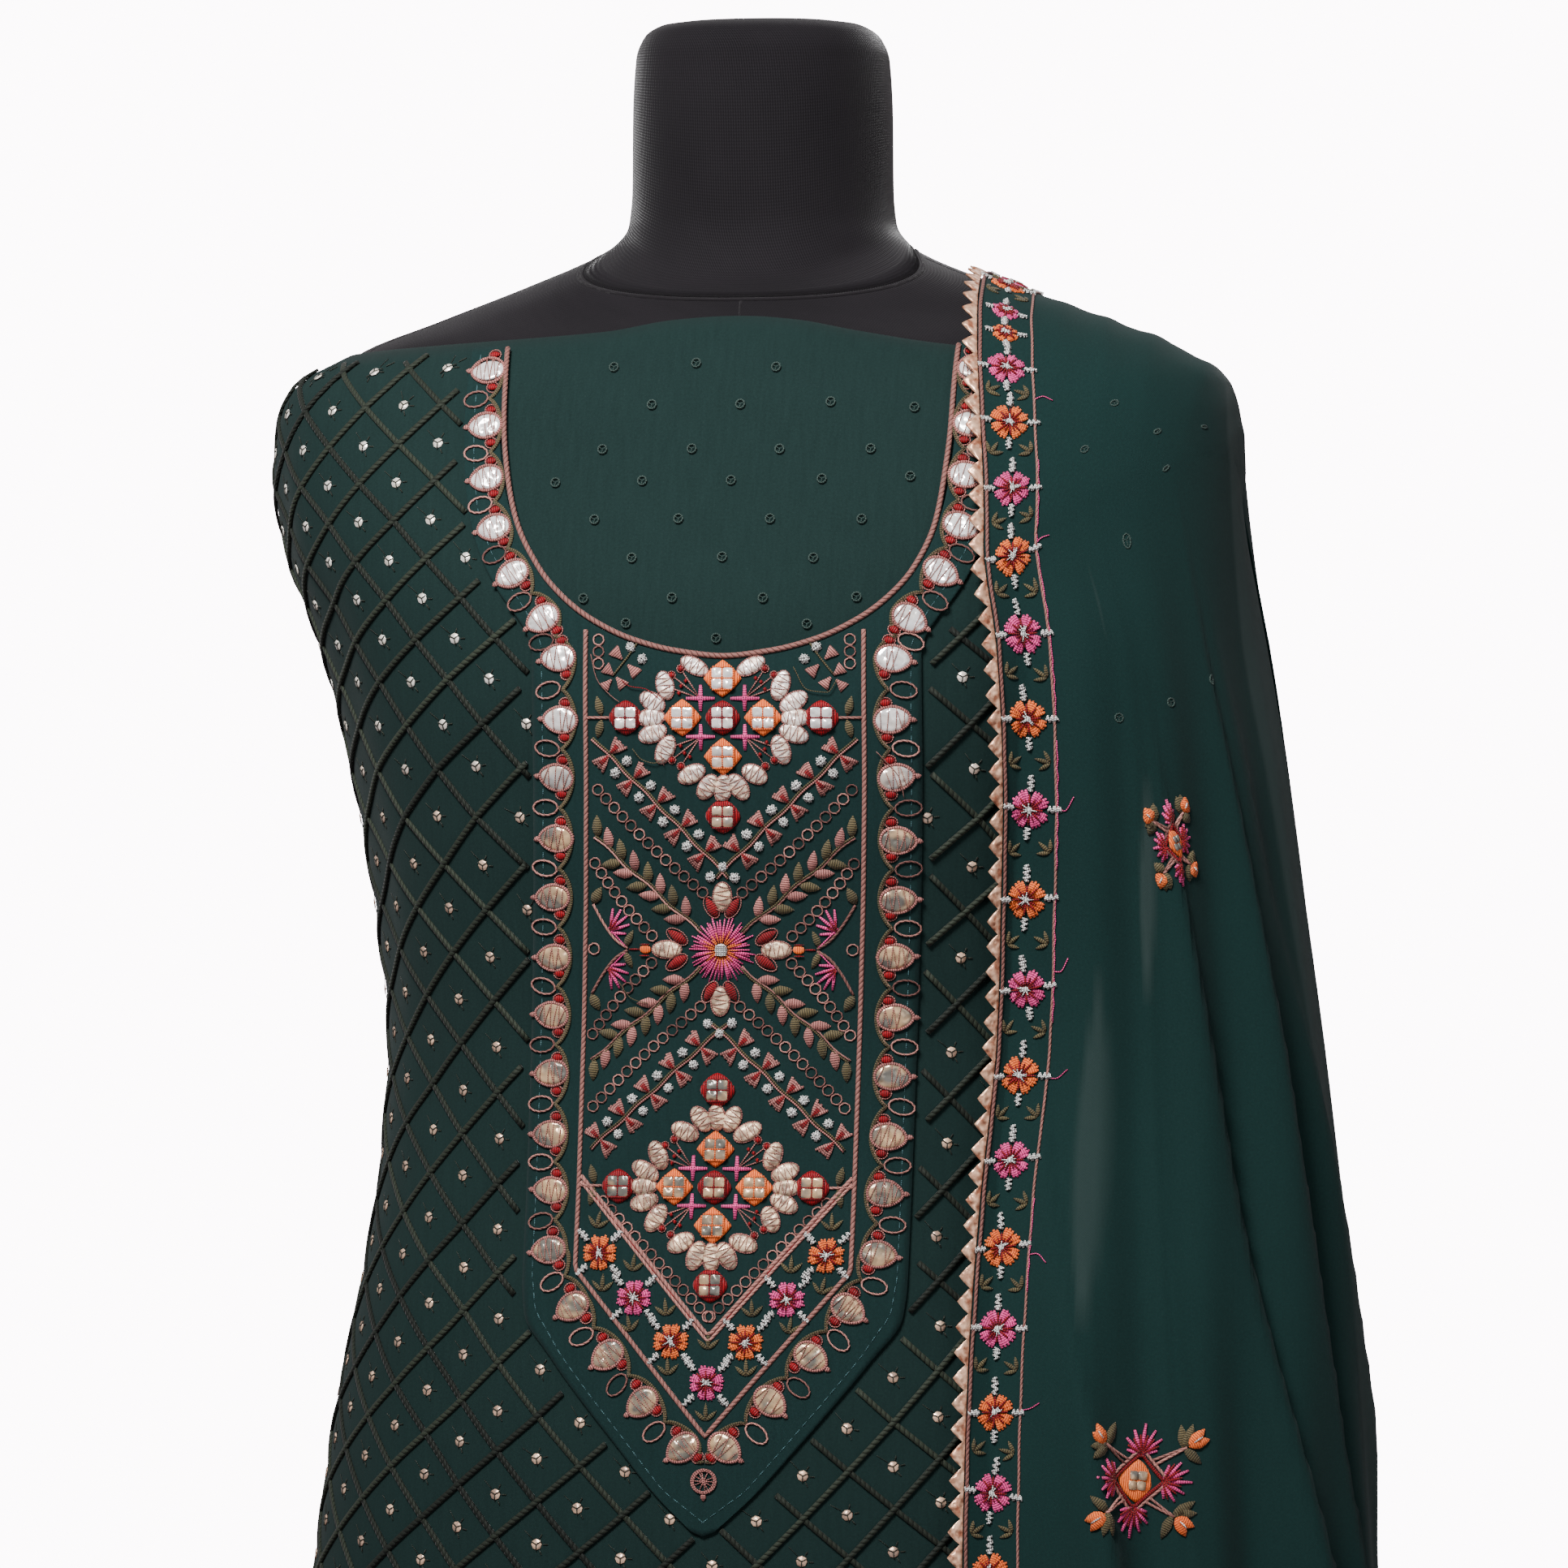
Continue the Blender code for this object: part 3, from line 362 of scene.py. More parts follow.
def studs(bag, surface, x, z, outline, profile, spin=0.0, high=0.0):
    # an outline in metres carried up a profile of (share of the outline, height), square to the surface
    given = (np.atleast_1d(np.asarray(value, float)) for value in (x, z, spin, high))
    x, z, spin, high = np.broadcast_arrays(*given)
    here, out = surface(x, z)
    right = surface(x + 0.0005, z)[0] - here
    right = unit(right - out * (right * out).sum(axis=-1, keepdims=True))
    up = np.cross(out, right)
    cos, sin = np.cos(spin)[:, None], np.sin(spin)[:, None]
    u = outline[:, 0] * cos - outline[:, 1] * sin
    v = outline[:, 0] * sin + outline[:, 1] * cos
    share, height = np.array(profile).T
    plane = right[:, None, :] * u[..., None] + up[:, None, :] * v[..., None]
    lift = out[:, None, :] * (high[:, None] + height)[..., None]
    points = here[:, None, None] + plane[:, None] * share[:, None, None] + lift[:, :, None]
    n, k, m = points.shape[:3]
    index = np.arange(n * k * m).reshape(n, k, m)
    caps = [index[:, 0][:, fan(m)[:, ::-1]], index[:, -1][:, fan(m)]]
    index = np.concatenate([index, index[:, :, :1]], axis=2)
    flat = (outline * share[:, None, None])[None].repeat(n, 0)
    flat = np.concatenate([flat, flat[:, :, :1]], axis=2)
    ends = ((0, fan(m)[:, ::-1], caps[0]), (-1, fan(m), caps[1]))
    capUv = [np.broadcast_to((outline * share[row])[order], cap.shape + (2,)) for row, order, cap in ends]
    tones = np.broadcast_to(dice.random(n)[:, None, None], (n, k, m))
    allQuads = np.concatenate([part.reshape(-1, 4) for part in (cells(index, 1), *caps)])
    allUv = np.concatenate([part.reshape(-1, 4, 2) for part in (cells(flat, 1), *capUv)])
    pour(bag, points, allQuads, allUv, tones)


def route(points, step, curved=False):
    # places evenly along a line of points, straight between them or curved through them
    points = np.array(points, float)
    length = lengths(points)
    at = np.linspace(0, length[-1], max(int(length[-1] / step) + 1, 3))
    read = smooth if curved else lambda xs, ys, at: np.interp(at, xs, ys)
    return np.stack([read(length, column, at) for column in points.T], axis=1)


def ovalOutline(halfWide, halfTall, count, power=2.0, point=0.0):
    # a rounded outline, drawn out by `point` to a tip at its right end
    turn = np.arange(count) * fullTurn / count
    u = np.sign(np.cos(turn)) * np.abs(np.cos(turn)) ** (2 / power)
    v = np.sign(np.sin(turn)) * np.abs(np.sin(turn)) ** (2 / power)
    taper = 1 - point * np.clip(u, 0, 1) ** 2
    return np.stack([u * halfWide * (1 + 0.35 * point * np.clip(u, 0, 1)), v * halfTall * taper], axis=1)


# finishes: shared effects are node groups, and each material keeps its own shader


def plug(tree, socket, value):
    # joins a socket of another node, or sets a plain value
    if isinstance(value, bpy.types.NodeSocket):
        tree.links.new(value, socket)
    else:
        socket.default_value = value


def nodeIn(tree, kind, inputs=(), **settings):
    # a shader node of one kind, with its settings and what goes into its sockets
    node = tree.nodes.new("ShaderNode" + kind)
    for key, value in settings.items():
        setattr(node, key, value)
    for socket, value in dict(inputs).items():
        plug(tree, node.inputs[socket], value)
    return node


def sums(tree, operation, *values, clamp=False):
    # one sum of numbers or sockets
    return nodeIn(tree, "Math", enumerate(values), operation=operation, use_clamp=clamp).outputs[0]


def times(tree, first, second):
    # one value times another
    return sums(tree, "MULTIPLY", first, second)


def timesPlus(tree, value, factor, added):
    # a value times a factor, plus what is added
    return sums(tree, "MULTIPLY_ADD", value, factor, added)


def noise(tree, place, scale, detail, rough=0.5):
    # soft noise over a place
    inputs = {"Vector": place, "Scale": scale, "Detail": detail, "Roughness": rough}
    return nodeIn(tree, "TexNoise", inputs).outputs[0]


def axesOf(tree, place):
    # a place's three axes
    return nodeIn(tree, "SeparateXYZ", {0: place}).outputs


def ranged(tree, value, low, high, start, end):
    # a value's share of low to high, laid from start to end
    inputs = {"Value": value, "From Min": low, "From Max": high, "To Min": start, "To Max": end}
    return nodeIn(tree, "MapRange", inputs).outputs[0]


def blend(tree, share, first, second):
    # one colour or another by a share
    node = tree.nodes.new("ShaderNodeMix")
    node.data_type = "RGBA"
    plug(tree, node.inputs[0], share)
    plug(tree, node.inputs[6], first)
    plug(tree, node.inputs[7], second)
    return node.outputs[2]


def newGroup(name, inputs, outputs):
    # a node group: numbers in with their usual values, a place where there is none, and numbers out
    tree = bpy.data.node_groups.new(name, "ShaderNodeTree")
    for socket, value in inputs.items():
        kind = "NodeSocketVector" if value is None else "NodeSocketFloat"
        made = tree.interface.new_socket(socket, in_out="INPUT", socket_type=kind)
        if value is not None:
            made.default_value = value
    for socket in outputs:
        tree.interface.new_socket(socket, in_out="OUTPUT", socket_type="NodeSocketFloat")
    return tree, tree.nodes.new("NodeGroupInput").outputs, tree.nodes.new("NodeGroupOutput").inputs


def useGroup(tree, group, **inputs):
    # one use of a group, with what goes into it
    node = tree.nodes.new("ShaderNodeGroup")
    node.node_tree = group
    for socket, value in inputs.items():
        plug(tree, node.inputs[socket], value)
    return node.outputs


def waves(tree, value, pitch):
    # sin(2π·value/pitch)
    return sums(tree, "SINE", times(tree, value, sums(tree, "DIVIDE", fullTurn, pitch)))


def weaveGroup():
    # warp and weft: sines along u and v multiplied, with the yarns wandering by a noise
    given = {"Place": None, "Pitch": 0.0005, "Wander": 0.3, "Slub": 0.5}
    tree, given, out = newGroup("weaveEffect", given, ("Height", "Tone"))
    wander = noise(tree, given["Place"], 900.0, 3.0)
    shift = times(tree, times(tree, wander, given["Pitch"]), given["Wander"])
    axes = axesOf(tree, given["Place"])
    warp = waves(tree, sums(tree, "ADD", axes[0], shift), given["Pitch"])
    weft = waves(tree, sums(tree, "SUBTRACT", axes[1], shift), given["Pitch"])
    flatter = nodeIn(tree, "Mapping", {"Vector": given["Place"], "Scale": (1.0, 0.12, 1.0)}).outputs[0]
    slubs = noise(tree, flatter, 420.0, 4.0, 0.7)
    uneven = times(tree, sums(tree, "SUBTRACT", slubs, 0.5), given["Slub"])
    height = timesPlus(tree, times(tree, warp, weft), 0.25, 0.5)
    plug(tree, out["Height"], sums(tree, "ADD", height, uneven, clamp=True))
    plug(tree, out["Tone"], sums(tree, "ADD", timesPlus(tree, wander, 0.7, 0.15), uneven, clamp=True))
    return tree


def twistGroup():
    # strands round a cord: |sin(π·(u/pitch + turns·v))|, high on a strand and 0 between two
    given = {"Place": None, "Pitch": 0.0014, "Turns": 2.0}
    tree, given, out = newGroup("twistEffect", given, ("Height", "GrooveShade"))
    axes = axesOf(tree, given["Place"])
    turn = timesPlus(tree, axes[1], given["Turns"], sums(tree, "DIVIDE", axes[0], given["Pitch"]))
    strand = sums(tree, "ABSOLUTE", sums(tree, "SINE", times(tree, turn, math.pi)))
    plug(tree, out["Height"], sums(tree, "POWER", strand, 0.6))
    # 1 in the grooves between strands, where the cord's shade is painted
    plug(tree, out["GrooveShade"], ranged(tree, strand, 0.0, 0.45, 1.0, 0.0))
    return tree


def satinGroup():
    # stitches side by side: fine lines across the piece, uneven in height
    tree, given, out = newGroup("satinEffect", {"Place": None, "Pitch": 0.0005}, ("Height", "Tone"))
    uneven = noise(tree, given["Place"], 700.0, 2.0)
    line = waves(tree, timesPlus(tree, uneven, 0.0004, axesOf(tree, given["Place"])[0]), given["Pitch"])
    plug(tree, out["Height"], sums(tree, "POWER", timesPlus(tree, line, 0.5, 0.5), 0.6))
    plug(tree, out["Tone"], uneven)
    return tree


def wearGroup():
    # broad uneven patches, as cloth fades and gathers lint
    tree, given, out = newGroup("wearEffect", {"Place": None, "Size": 0.06}, ("Patch", "Lint"))
    patch = noise(tree, given["Place"], sums(tree, "DIVIDE", 1.0, given["Size"]), 5.0, 0.6)
    lint = noise(tree, given["Place"], 1500.0, 2.0, 0.8)
    plug(tree, out["Patch"], ranged(tree, patch, 0.3, 0.7, 0.0, 1.0))
    plug(tree, out["Lint"], ranged(tree, lint, 0.62, 0.75, 0.0, 1.0))
    return tree


weave, twist, satin, wear = weaveGroup(), twistGroup(), satinGroup(), wearGroup()


def colour(red, green, blue, gain=1.0):
    # a tone as it is seen on a screen, 0 to 255, turned into linear light
    tone = np.array([red, green, blue]) / 255
    light = np.where(tone <= 0.04045, tone / 12.92, ((tone + 0.055) / 1.055) ** 2.4) * gain
    return (*light.tolist(), 1.0)


def newMaterial(name, roughness, metallic=0.0, sheen=0.0, sheenRough=0.5, specular=0.5):
    # a material with its tree and its one shader
    made = bpy.data.materials.new(name)
    made.use_nodes = True
    tree = made.node_tree
    shader = tree.nodes["Principled BSDF"]
    shader.inputs["Roughness"].default_value = roughness
    shader.inputs["Metallic"].default_value = metallic
    shader.inputs["Sheen Weight"].default_value = sheen
    shader.inputs["Sheen Roughness"].default_value = sheenRough
    shader.inputs["Specular IOR Level"].default_value = specular
    return made, tree, shader


def dress(tree, shader, base, rough, height, distance):
    # joins a finish's colour, its roughness and a bump of this height to its shader
    plug(tree, shader.inputs["Base Color"], base)
    plug(tree, shader.inputs["Roughness"], rough)
    bump = nodeIn(tree, "Bump", {"Height": height, "Distance": distance, "Strength": 1.0})
    tree.links.new(bump.outputs[0], shader.inputs["Normal"])


def ownUv(tree):
    # metres along the cloth
    return nodeIn(tree, "UVMap", uv_map="UVMap").outputs[0]


def ownTone(tree):
    # the tone stored at each point
    return nodeIn(tree, "Attribute", attribute_name="tone").outputs["Fac"]


def ownPlace(tree):
    # metres in the object
    return nodeIn(tree, "TexCoord").outputs["Object"]


def faded(tree, base, place, size, patchTone, patchShare, lintTone, lintShare):
    # a cloth's colour with its worn patches and its lint over it
    worn = useGroup(tree, wear, Place=place, Size=size)
    base = blend(tree, times(tree, worn["Patch"], patchShare), base, patchTone)
    return blend(tree, times(tree, worn["Lint"], lintShare), base, lintTone)


def clothMaterial(name, dark, light, pitch, roughness, bump, sheen=0.03, wander=0.3, slub=0.5, thin=None):
    # woven yarns, worn patches and lint; where the mesh's tone says so, a single layer is painted a lighter grey,
    # as light from behind shining through it
    made, tree, shader = newMaterial(name, roughness, sheen=sheen, sheenRough=0.45, specular=0.08)
    place, dark, light = ownUv(tree), colour(*dark), colour(*light)
    yarn = useGroup(tree, weave, Place=place, Pitch=pitch, Wander=wander, Slub=slub)
    base = blend(tree, yarn["Tone"], dark, light)
    base = faded(tree, base, place, 0.09, light, 0.22, colour(120, 132, 130), 0.05)
    if thin:
        # painted light: a lighter grey between the yarns where one layer is lit from behind, with the yarns' crests
        # left dark
        base = blend(tree, ownTone(tree), base, blend(tree, yarn["Height"], colour(*thin), dark))
    rough = ranged(tree, yarn["Height"], 0.0, 1.0, roughness + 0.1, roughness - 0.08)
    dress(tree, shader, base, rough, yarn["Height"], bump)
    return made


def cordMaterial(name, deep, bright, roughness, sheen, pitch):
    # a twisted cord: painted shade between its strands, its tone uneven from one piece to the next
    made, tree, shader = newMaterial(name, roughness, 0.0, sheen, 0.35, 0.2)
    deep, bright = colour(*deep), colour(*bright)
    strands = useGroup(tree, twist, Place=ownUv(tree), Pitch=pitch, Turns=2.0)
    base = blend(tree, ranged(tree, ownTone(tree), 0.0, 1.0, 0.15, 1.0), deep, bright)
    # painted shade: between the strands the colour sinks to a quarter of the deep tone
    grooveShade = tuple(0.25 * value for value in deep[:3]) + (1.0,)
    base = blend(tree, times(tree, strands["GrooveShade"], 0.8), base, grooveShade)
    rough = ranged(tree, strands["Height"], 0.0, 1.0, roughness + 0.2, roughness)
    dress(tree, shader, base, rough, strands["Height"], 0.00035)
    return made


def satinMaterial(name, deep, bright, roughness=0.5):
    # filled stitches lying side by side, with painted shade between them
    made, tree, shader = newMaterial(name, roughness, 0.0, 0.06, 0.3, 0.28)
    rows = useGroup(tree, satin, Place=ownUv(tree), Pitch=0.0010)
    # painted shade: darker in the grooves between stitches and lighter on their crests, times a tone that differs
    # at random from piece to piece
    stitchShadeAndTone = times(tree, timesPlus(tree, rows["Height"], 0.9, 0.1), timesPlus(tree, ownTone(tree), 0.4, 0.6))
    rough = ranged(tree, rows["Tone"], 0.3, 0.7, roughness - 0.06, roughness + 0.14)
    base = blend(tree, stitchShadeAndTone, colour(*deep), colour(*bright))
    dress(tree, shader, base, rough, rows["Height"], 0.00025)
    return made


def foilMaterial(name, deep, bright, roughness, crinkle, size, metallic, low=()):
    # thin foil pressed over a backing: creased in small flat facets, dulled between them, and, where `low` gives
    # the tones, painted with a dimmer, yellower reflection lower down
    made, tree, shader = newMaterial(name, roughness, metallic, specular=0.6)
    place = ownPlace(tree)
    inputs = {"Vector": place, "Scale": 1 / size, "Randomness": 1.0}
    creases = nodeIn(tree, "TexVoronoi", inputs, feature="SMOOTH_F1")
    dull = noise(tree, place, 0.8 / size, 3.0)
    base = blend(tree, ranged(tree, dull, 0.35, 0.65, 0.0, 1.0), colour(*deep), colour(*bright))
    # painted reflection: lower down the foil turns to the dimmer, yellower `low` tones, as if it caught less of the
    # light from above
    if low:
        patches = noise(tree, place, 0.35 / size, 2.0)
        tones = (colour(*tone) for tone in low)
        lower = blend(tree, ranged(tree, patches, 0.42, 0.60, 0.0, 1.0), *tones)
        share = ranged(tree, axesOf(tree, place)[2], 1.262, 1.205, 0.0, 0.85)
        base = blend(tree, share, base, lower)
    plug(tree, shader.inputs["Metallic"], ranged(tree, dull, 0.3, 0.6, metallic * 0.7, metallic))
    rough = ranged(tree, dull, 0.3, 0.7, roughness + 0.18, roughness - 0.05)
    dress(tree, shader, base, rough, creases.outputs["Distance"], crinkle)
    return made


# each cloth's dark and light tone, the pitch of its yarns, its roughness and the height of its weave
georgette = clothMaterial("greenGeorgette", (11, 24, 23), (23, 42, 40), 0.0006, 0.86, 0.00012)
patchGeorgette = clothMaterial("patchGeorgette", (10, 25, 24), (22, 44, 43), 0.0006, 0.86, 0.00012)
# the chiffon's last tone, (64, 76, 74), is painted light from behind, shown where one layer hangs alone
chiffon = clothMaterial(
    "greenChiffon", (9, 26, 25), (20, 44, 42), 0.0007, 0.86, 0.00010, slub=0.15, thin=(64, 76, 74),
)
crepe = clothMaterial("greenCrepe", (11, 23, 22), (22, 39, 37), 0.0008, 0.88, 0.00016, wander=0.8, slub=0.7)

latticeCord = cordMaterial("latticeCord", (6, 10, 8), (38, 44, 34), 0.7, 0.04, 0.0026)
roseCord = cordMaterial("roseCord", (58, 30, 28), (176, 120, 110), 0.6, 0.08, 0.0025)
oliveThread = satinMaterial("oliveThread", (26, 24, 14), (100, 88, 58), 0.55)
redThread = satinMaterial("redThread", (48, 0, 4), (150, 0, 14))
orangeThread = satinMaterial("orangeThread", (168, 50, 10), (252, 124, 52))
pinkThread = satinMaterial("pinkThread", (132, 12, 62), (250, 84, 158))
roseSatin = satinMaterial("roseSatin", (70, 34, 34), (188, 122, 114))
silverThread = satinMaterial("silverThread", (70, 66, 62), (255, 254, 250), 0.34)
wrapThread = satinMaterial("wrapThread", (110, 62, 58), (184, 122, 108))
faintThread = satinMaterial("faintThread", (30, 46, 42), (56, 74, 68), 0.7)
tealThread = satinMaterial("tealThread", (24, 52, 58), (72, 112, 116))
darkThread = satinMaterial("darkThread", (10, 14, 11), (40, 46, 34), 0.6)
gotaFoil = foilMaterial("gotaFoil", (150, 92, 66), (246, 200, 166), 0.36, 0.0012, 0.0028, 0.6)
# the second pair of tones for petals, mirrors and sequins is their painted dimmer reflection lower down
petalFoil = foilMaterial(
    "petalFoil", (222, 200, 182), (255, 252, 248), 0.34, 0.0010, 0.0022, 0.3, ((132, 104, 76), (240, 206, 164)),
)
mirrorFoil = foilMaterial(
    "mirrorFoil", (226, 222, 216), (255, 255, 255), 0.16, 0.0013, 0.0034, 0.5, ((56, 52, 28), (196, 154, 96)),
)
sequinShell = foilMaterial(
    "sequinShell", (214, 204, 188), (252, 248, 240), 0.28, 0.0003, 0.002, 0.5, ((150, 112, 88), (226, 184, 150)),
)
print("finishes made")


# the dress form and its stand
form = {"columns": 112, "ribPitch": 0.0011}
stand = {
    "poleX": 0.085, "poleRadius": 0.0125, "baseRadius": 0.170, "baseThick": 0.012, "rimBend": 0.004,
    "collarRadius": 0.032, "collarTall": 0.022, "fine": 0.0004, "gap": 0.0003,
}


def neckSeam(angle):
    # low in front, higher at the sides and highest at the back
    front = np.clip(np.sin(angle), 0, 1)
    back = np.clip(-np.sin(angle), 0, 1)
    drop = (body["seamSide"] - body["seamFront"]) * front**1.6
    return body["seamSide"] - drop + (body["seamBack"] - body["seamSide"]) * back


def formAt(angle, z):
    # the bare form below the neck seam, with the way out of it
    return wayOut(lambda turn, height: roundBody(torsoRings, turn, height), angle, z, 0.0048, 0.0006)


def jerseyMaterial():
    # knitted ribs: sines up the cloth, with rows of loops across them, their troughs painted darker as shade
    made, tree, shader = newMaterial("blackJersey", 0.88, sheen=0.25, sheenRough=0.35, specular=0.08)
    place = ownUv(tree)
    axes = axesOf(tree, place)
    rib = waves(tree, axes[0], form["ribPitch"])
    loops = waves(tree, timesPlus(tree, rib, 0.0002, axes[1]), 0.0012)
    height = sums(tree, "ADD", timesPlus(tree, rib, 0.3, 0.5), times(tree, loops, 0.12))
    # painted shade: darker in the troughs between ribs and loops, lighter on their crests
    base = blend(tree, height, colour(11, 9, 11), colour(27, 25, 28))
    base = faded(tree, base, place, 0.05, colour(36, 33, 36), 0.2, colour(84, 80, 84), 0.08)
    dress(tree, shader, base, ranged(tree, height, 0.0, 1.0, 0.95, 0.75), height, 0.00016)
    return made


def steelMaterial():
    # turned steel: fine rings of brushing, smudged by handling
    made, tree, shader = newMaterial("brushedSteel", 0.3, 1.0)
    place = ownPlace(tree)
    stretched = nodeIn(tree, "Mapping", {"Vector": place, "Scale": (1.0, 1.0, 14.0)}).outputs[0]
    brushed = noise(tree, stretched, 160.0, 4.0)
    smudge = useGroup(tree, wear, Place=place, Size=0.05)
    base = blend(tree, brushed, colour(150, 150, 152), colour(216, 216, 218))
    dress(tree, shader, base, timesPlus(tree, smudge["Patch"], 0.14, 0.2), brushed, 0.00006)
    return made


jersey, steel = jerseyMaterial(), steelMaterial()
jerseySeam = clothMaterial("jerseySeam", (12, 10, 12), (30, 27, 30), 0.0008, 0.9, 0.0001, sheen=0.1)


def makeForm():
    # the torso up to its neck seam, the neck block from there, and seams as threads let into them
    angle = np.arange(form["columns"])[None, :] * fullTurn / form["columns"]
    seam = neckSeam(angle)
    level = np.concatenate([np.linspace(0, 0.86, 70), np.linspace(0.86, 1, 34)[1:]])[:, None]
    foot = torsoRings[0, 0]
    z = foot + level * (seam - foot)
    torso = roundBody(torsoRings, angle, z)
    gridPiece("formBody", torso, jersey, "jersey", ("form_torso",), closed=True, caps=True)

    rise = np.concatenate([np.linspace(0, 0.86, 40), np.linspace(0.86, 1, 16)[1:]])[:, None]
    z = seam + rise * (neckRings[-1, 0] - seam)
    neck = roundBody(neckRings, angle, z)
    start = torso[-1] + (0, 0, 0.0003)
    settle = np.clip(1 - rise / 0.10, 0, 1)[..., None] ** 2
    neck = neck + (start - neck[0]) * settle
    gridPiece("formNeck", neck, jersey, "jersey", ("form_neck_block",), closed=True, caps=True)

    seams = newBag()
    turn = np.linspace(0, fullTurn, 200, endpoint=False)[None, :]
    at = neckSeam(turn) - 0.0008
    stitch(seams, formAt, turn, at, -0.0003, 0.0011, 0.0008, closed=True)
    up, seamThread = np.linspace(0.8, 1, 60), (-0.0003, 0.0007, 0.0006)  # how high, half as wide, half as thick
    for place in (quarterTurn, 3 * quarterTurn):
        top = neckSeam(np.array(place)) - 0.001
        stitch(seams, formAt, place, foot + up * (top - foot), *seamThread)
    for ends in ((0.62, 0.30), (2.52, 2.84), (3.76, 3.44), (5.66, 5.98)):
        z = np.linspace(1.20, float(neckSeam(np.array(ends[1]))) - 0.002, 60)
        stitch(seams, formAt, np.linspace(*ends, 60), z, *seamThread)
    bagPiece("formSeams", seams, jerseySeam, "jersey")


def turnedPoints(profile, x, count):
    # a profile of radius and height carried round an upright line
    turn = np.arange(count)[None, :] * fullTurn / count
    radius, height = np.array(profile).T[:, :, None]
    return np.stack(np.broadcast_arrays(x - radius * np.cos(turn), -radius * np.sin(turn), height), axis=-1)


def makeStand():
    # base, pole and collar as turned profiles, with fine edges and a fine gap where one meets the next
    radius, fine, gap, bend = (stand[key] for key in ("poleRadius", "fine", "gap", "rimBend"))
    turn = np.linspace(0, quarterTurn, 8)
    wide, thick, hub = stand["baseRadius"], stand["baseThick"], 0.002
    rim = [(wide - bend + bend * math.cos(a), thick - bend + bend * math.sin(a)) for a in turn]
    base = [(hub, 0), (wide - 0.0005, 0), (wide, 0.0005)] + rim + [(hub, thick)]
    foot, top = thick + gap, torsoRings[0, 0] - stand["collarTall"] - 2 * gap
    pole = [(radius - fine, foot), (radius, foot + fine), (radius, top - fine), (radius - fine, top)]
    low, high, wide = top + gap, torsoRings[0, 0] - gap, stand["collarRadius"]
    slope = wide - radius
    collar = [(wide - 0.7 * slope, low), (wide - 0.02 * slope, high - 0.0055), (wide, high - 0.005)]
    collar += [(wide, high - fine), (wide - fine, high)]
    off = stand["poleX"]
    for name, profile, x, count in (("Base", base, 0.0, 128), ("Pole", pole, off, 96), ("Collar", collar, off, 96)):
        points = turnedPoints(profile, x, count)
        gridPiece(f"stand{name}", points, steel, "stand_metal", (f"stand_{name.lower()}",), closed=True, caps=True)


makeForm()
makeStand()
print("dress form made")


# the kameez, its patch and the salwar
kameez = {"rows": 112, "columnsFront": 110, "columnsBack": 92}
patch = {"rowsBetween": 5, "columns": 24}
salwar = {"roundColumns": 96, "legColumns": 104, "legRows": 64, "gathers": 28, "gatherDepth": 0.0012}
seamGap = 0.0003  # between two pieces of the salwar that meet at a seam
# half of the patch: x and z of each row's outer end, then of its inner end
patchRows = metres([
    (115, 1414, 98, 1414), (115.5, 1396, 98.7, 1396), (115.5, 1378, 98.7, 1378), (114.5, 1360, 97, 1360),
    (112.5, 1343, 93.5, 1343), (107.5, 1324, 87, 1327), (98.5, 1307, 77, 1312), (90, 1296, 65.5, 1299.5),
    (85, 1288, 50, 1289.5), (83, 1279, 33, 1283), (83, 1269, 16, 1280.3), (83, 1257, 0, 1279.6),
    (83, 1240, 0, 1252), (83, 1218, 0, 1224), (83, 1192, 0, 1194), (83, 1164, 0, 1164), (83, 1134, 0, 1134),
    (83, 1104, 0, 1104), (83, 1074, 0, 1074), (83, 1044, 0, 1044), (83, 1016, 0, 1016), (81.5, 998, 0, 996),
    (69, 980, 0, 976), (53, 960, 0, 956), (37, 941, 0, 937), (21, 923, 0, 920), (5, 908, 0, 906),
])
# how far the panel's middle leans to the side at each height
panelLeans = metres([
    (900, -5), (1000, -3.5), (1100, -0.8), (1250, 4.5), (1300, 4), (1360, 0), (1410, -2),
])


def panelLean(z):
    # how far the panel's middle lies to the side at the height z
    return smooth(panelLeans[:, 0], panelLeans[:, 1], z)


def onPanel(x, z):
    # a place on the kameez's front by its distance from the panel's middle and its height
    return onFront(x + panelLean(z), z)


def slitAngle(z, room=body["sideEdge"]):
    # how far a panel's edge lies from the side seam: only `room` above the slit, and more below it
    left, right, front, back, square = ringAt(kameezRings, z)
    below = np.clip((body["slitTop"] - z) / (body["slitTop"] - body["hem"]), 0, 1)
    return ((room + body["slitOpen"] * below) / front) ** (square / 2)


def kameezTop(share, back):
    # the height of the upper edge at a share of the way round: its table in front, a low rise behind
    if back:
        rise = body["backRise"] * np.sin(share * math.pi) ** 2
        return topEdge[-1, 1] + (topEdge[0, 1] - topEdge[-1, 1]) * share + rise
    return smooth(topEdge[:, 0], topEdge[:, 1], -np.cos(share * math.pi) * topEdge[-1, 0])


def makeKameez():
    # front and back as the body's surface with its folds, from the hem to the upper edge, finer above the slits
    third = kameez["rows"] // 3
    level = np.concatenate([np.linspace(0, 0.5, third), np.linspace(0.5, 1, 2 * kameez["rows"] // 3)[1:]])[:, None]
    made = []
    for side, back in (("Front", False), ("Back", True)):
        share = np.linspace(0, 1, kameez[f"columns{side}"] + 1)[None, :]
        z = body["hem"] + level * (kameezTop(share, back) - body["hem"])
        margin = slitAngle(z)
        angle = (math.pi if back else 0) + margin + share * (math.pi - 2 * margin)
        node = (f"kameez_{side.lower()}",)
        points = kameezPoint(angle, z)
        made.append(gridPiece(f"kameez{side}", points, georgette, "georgette", node, wall=body["cloth"]))
    return made


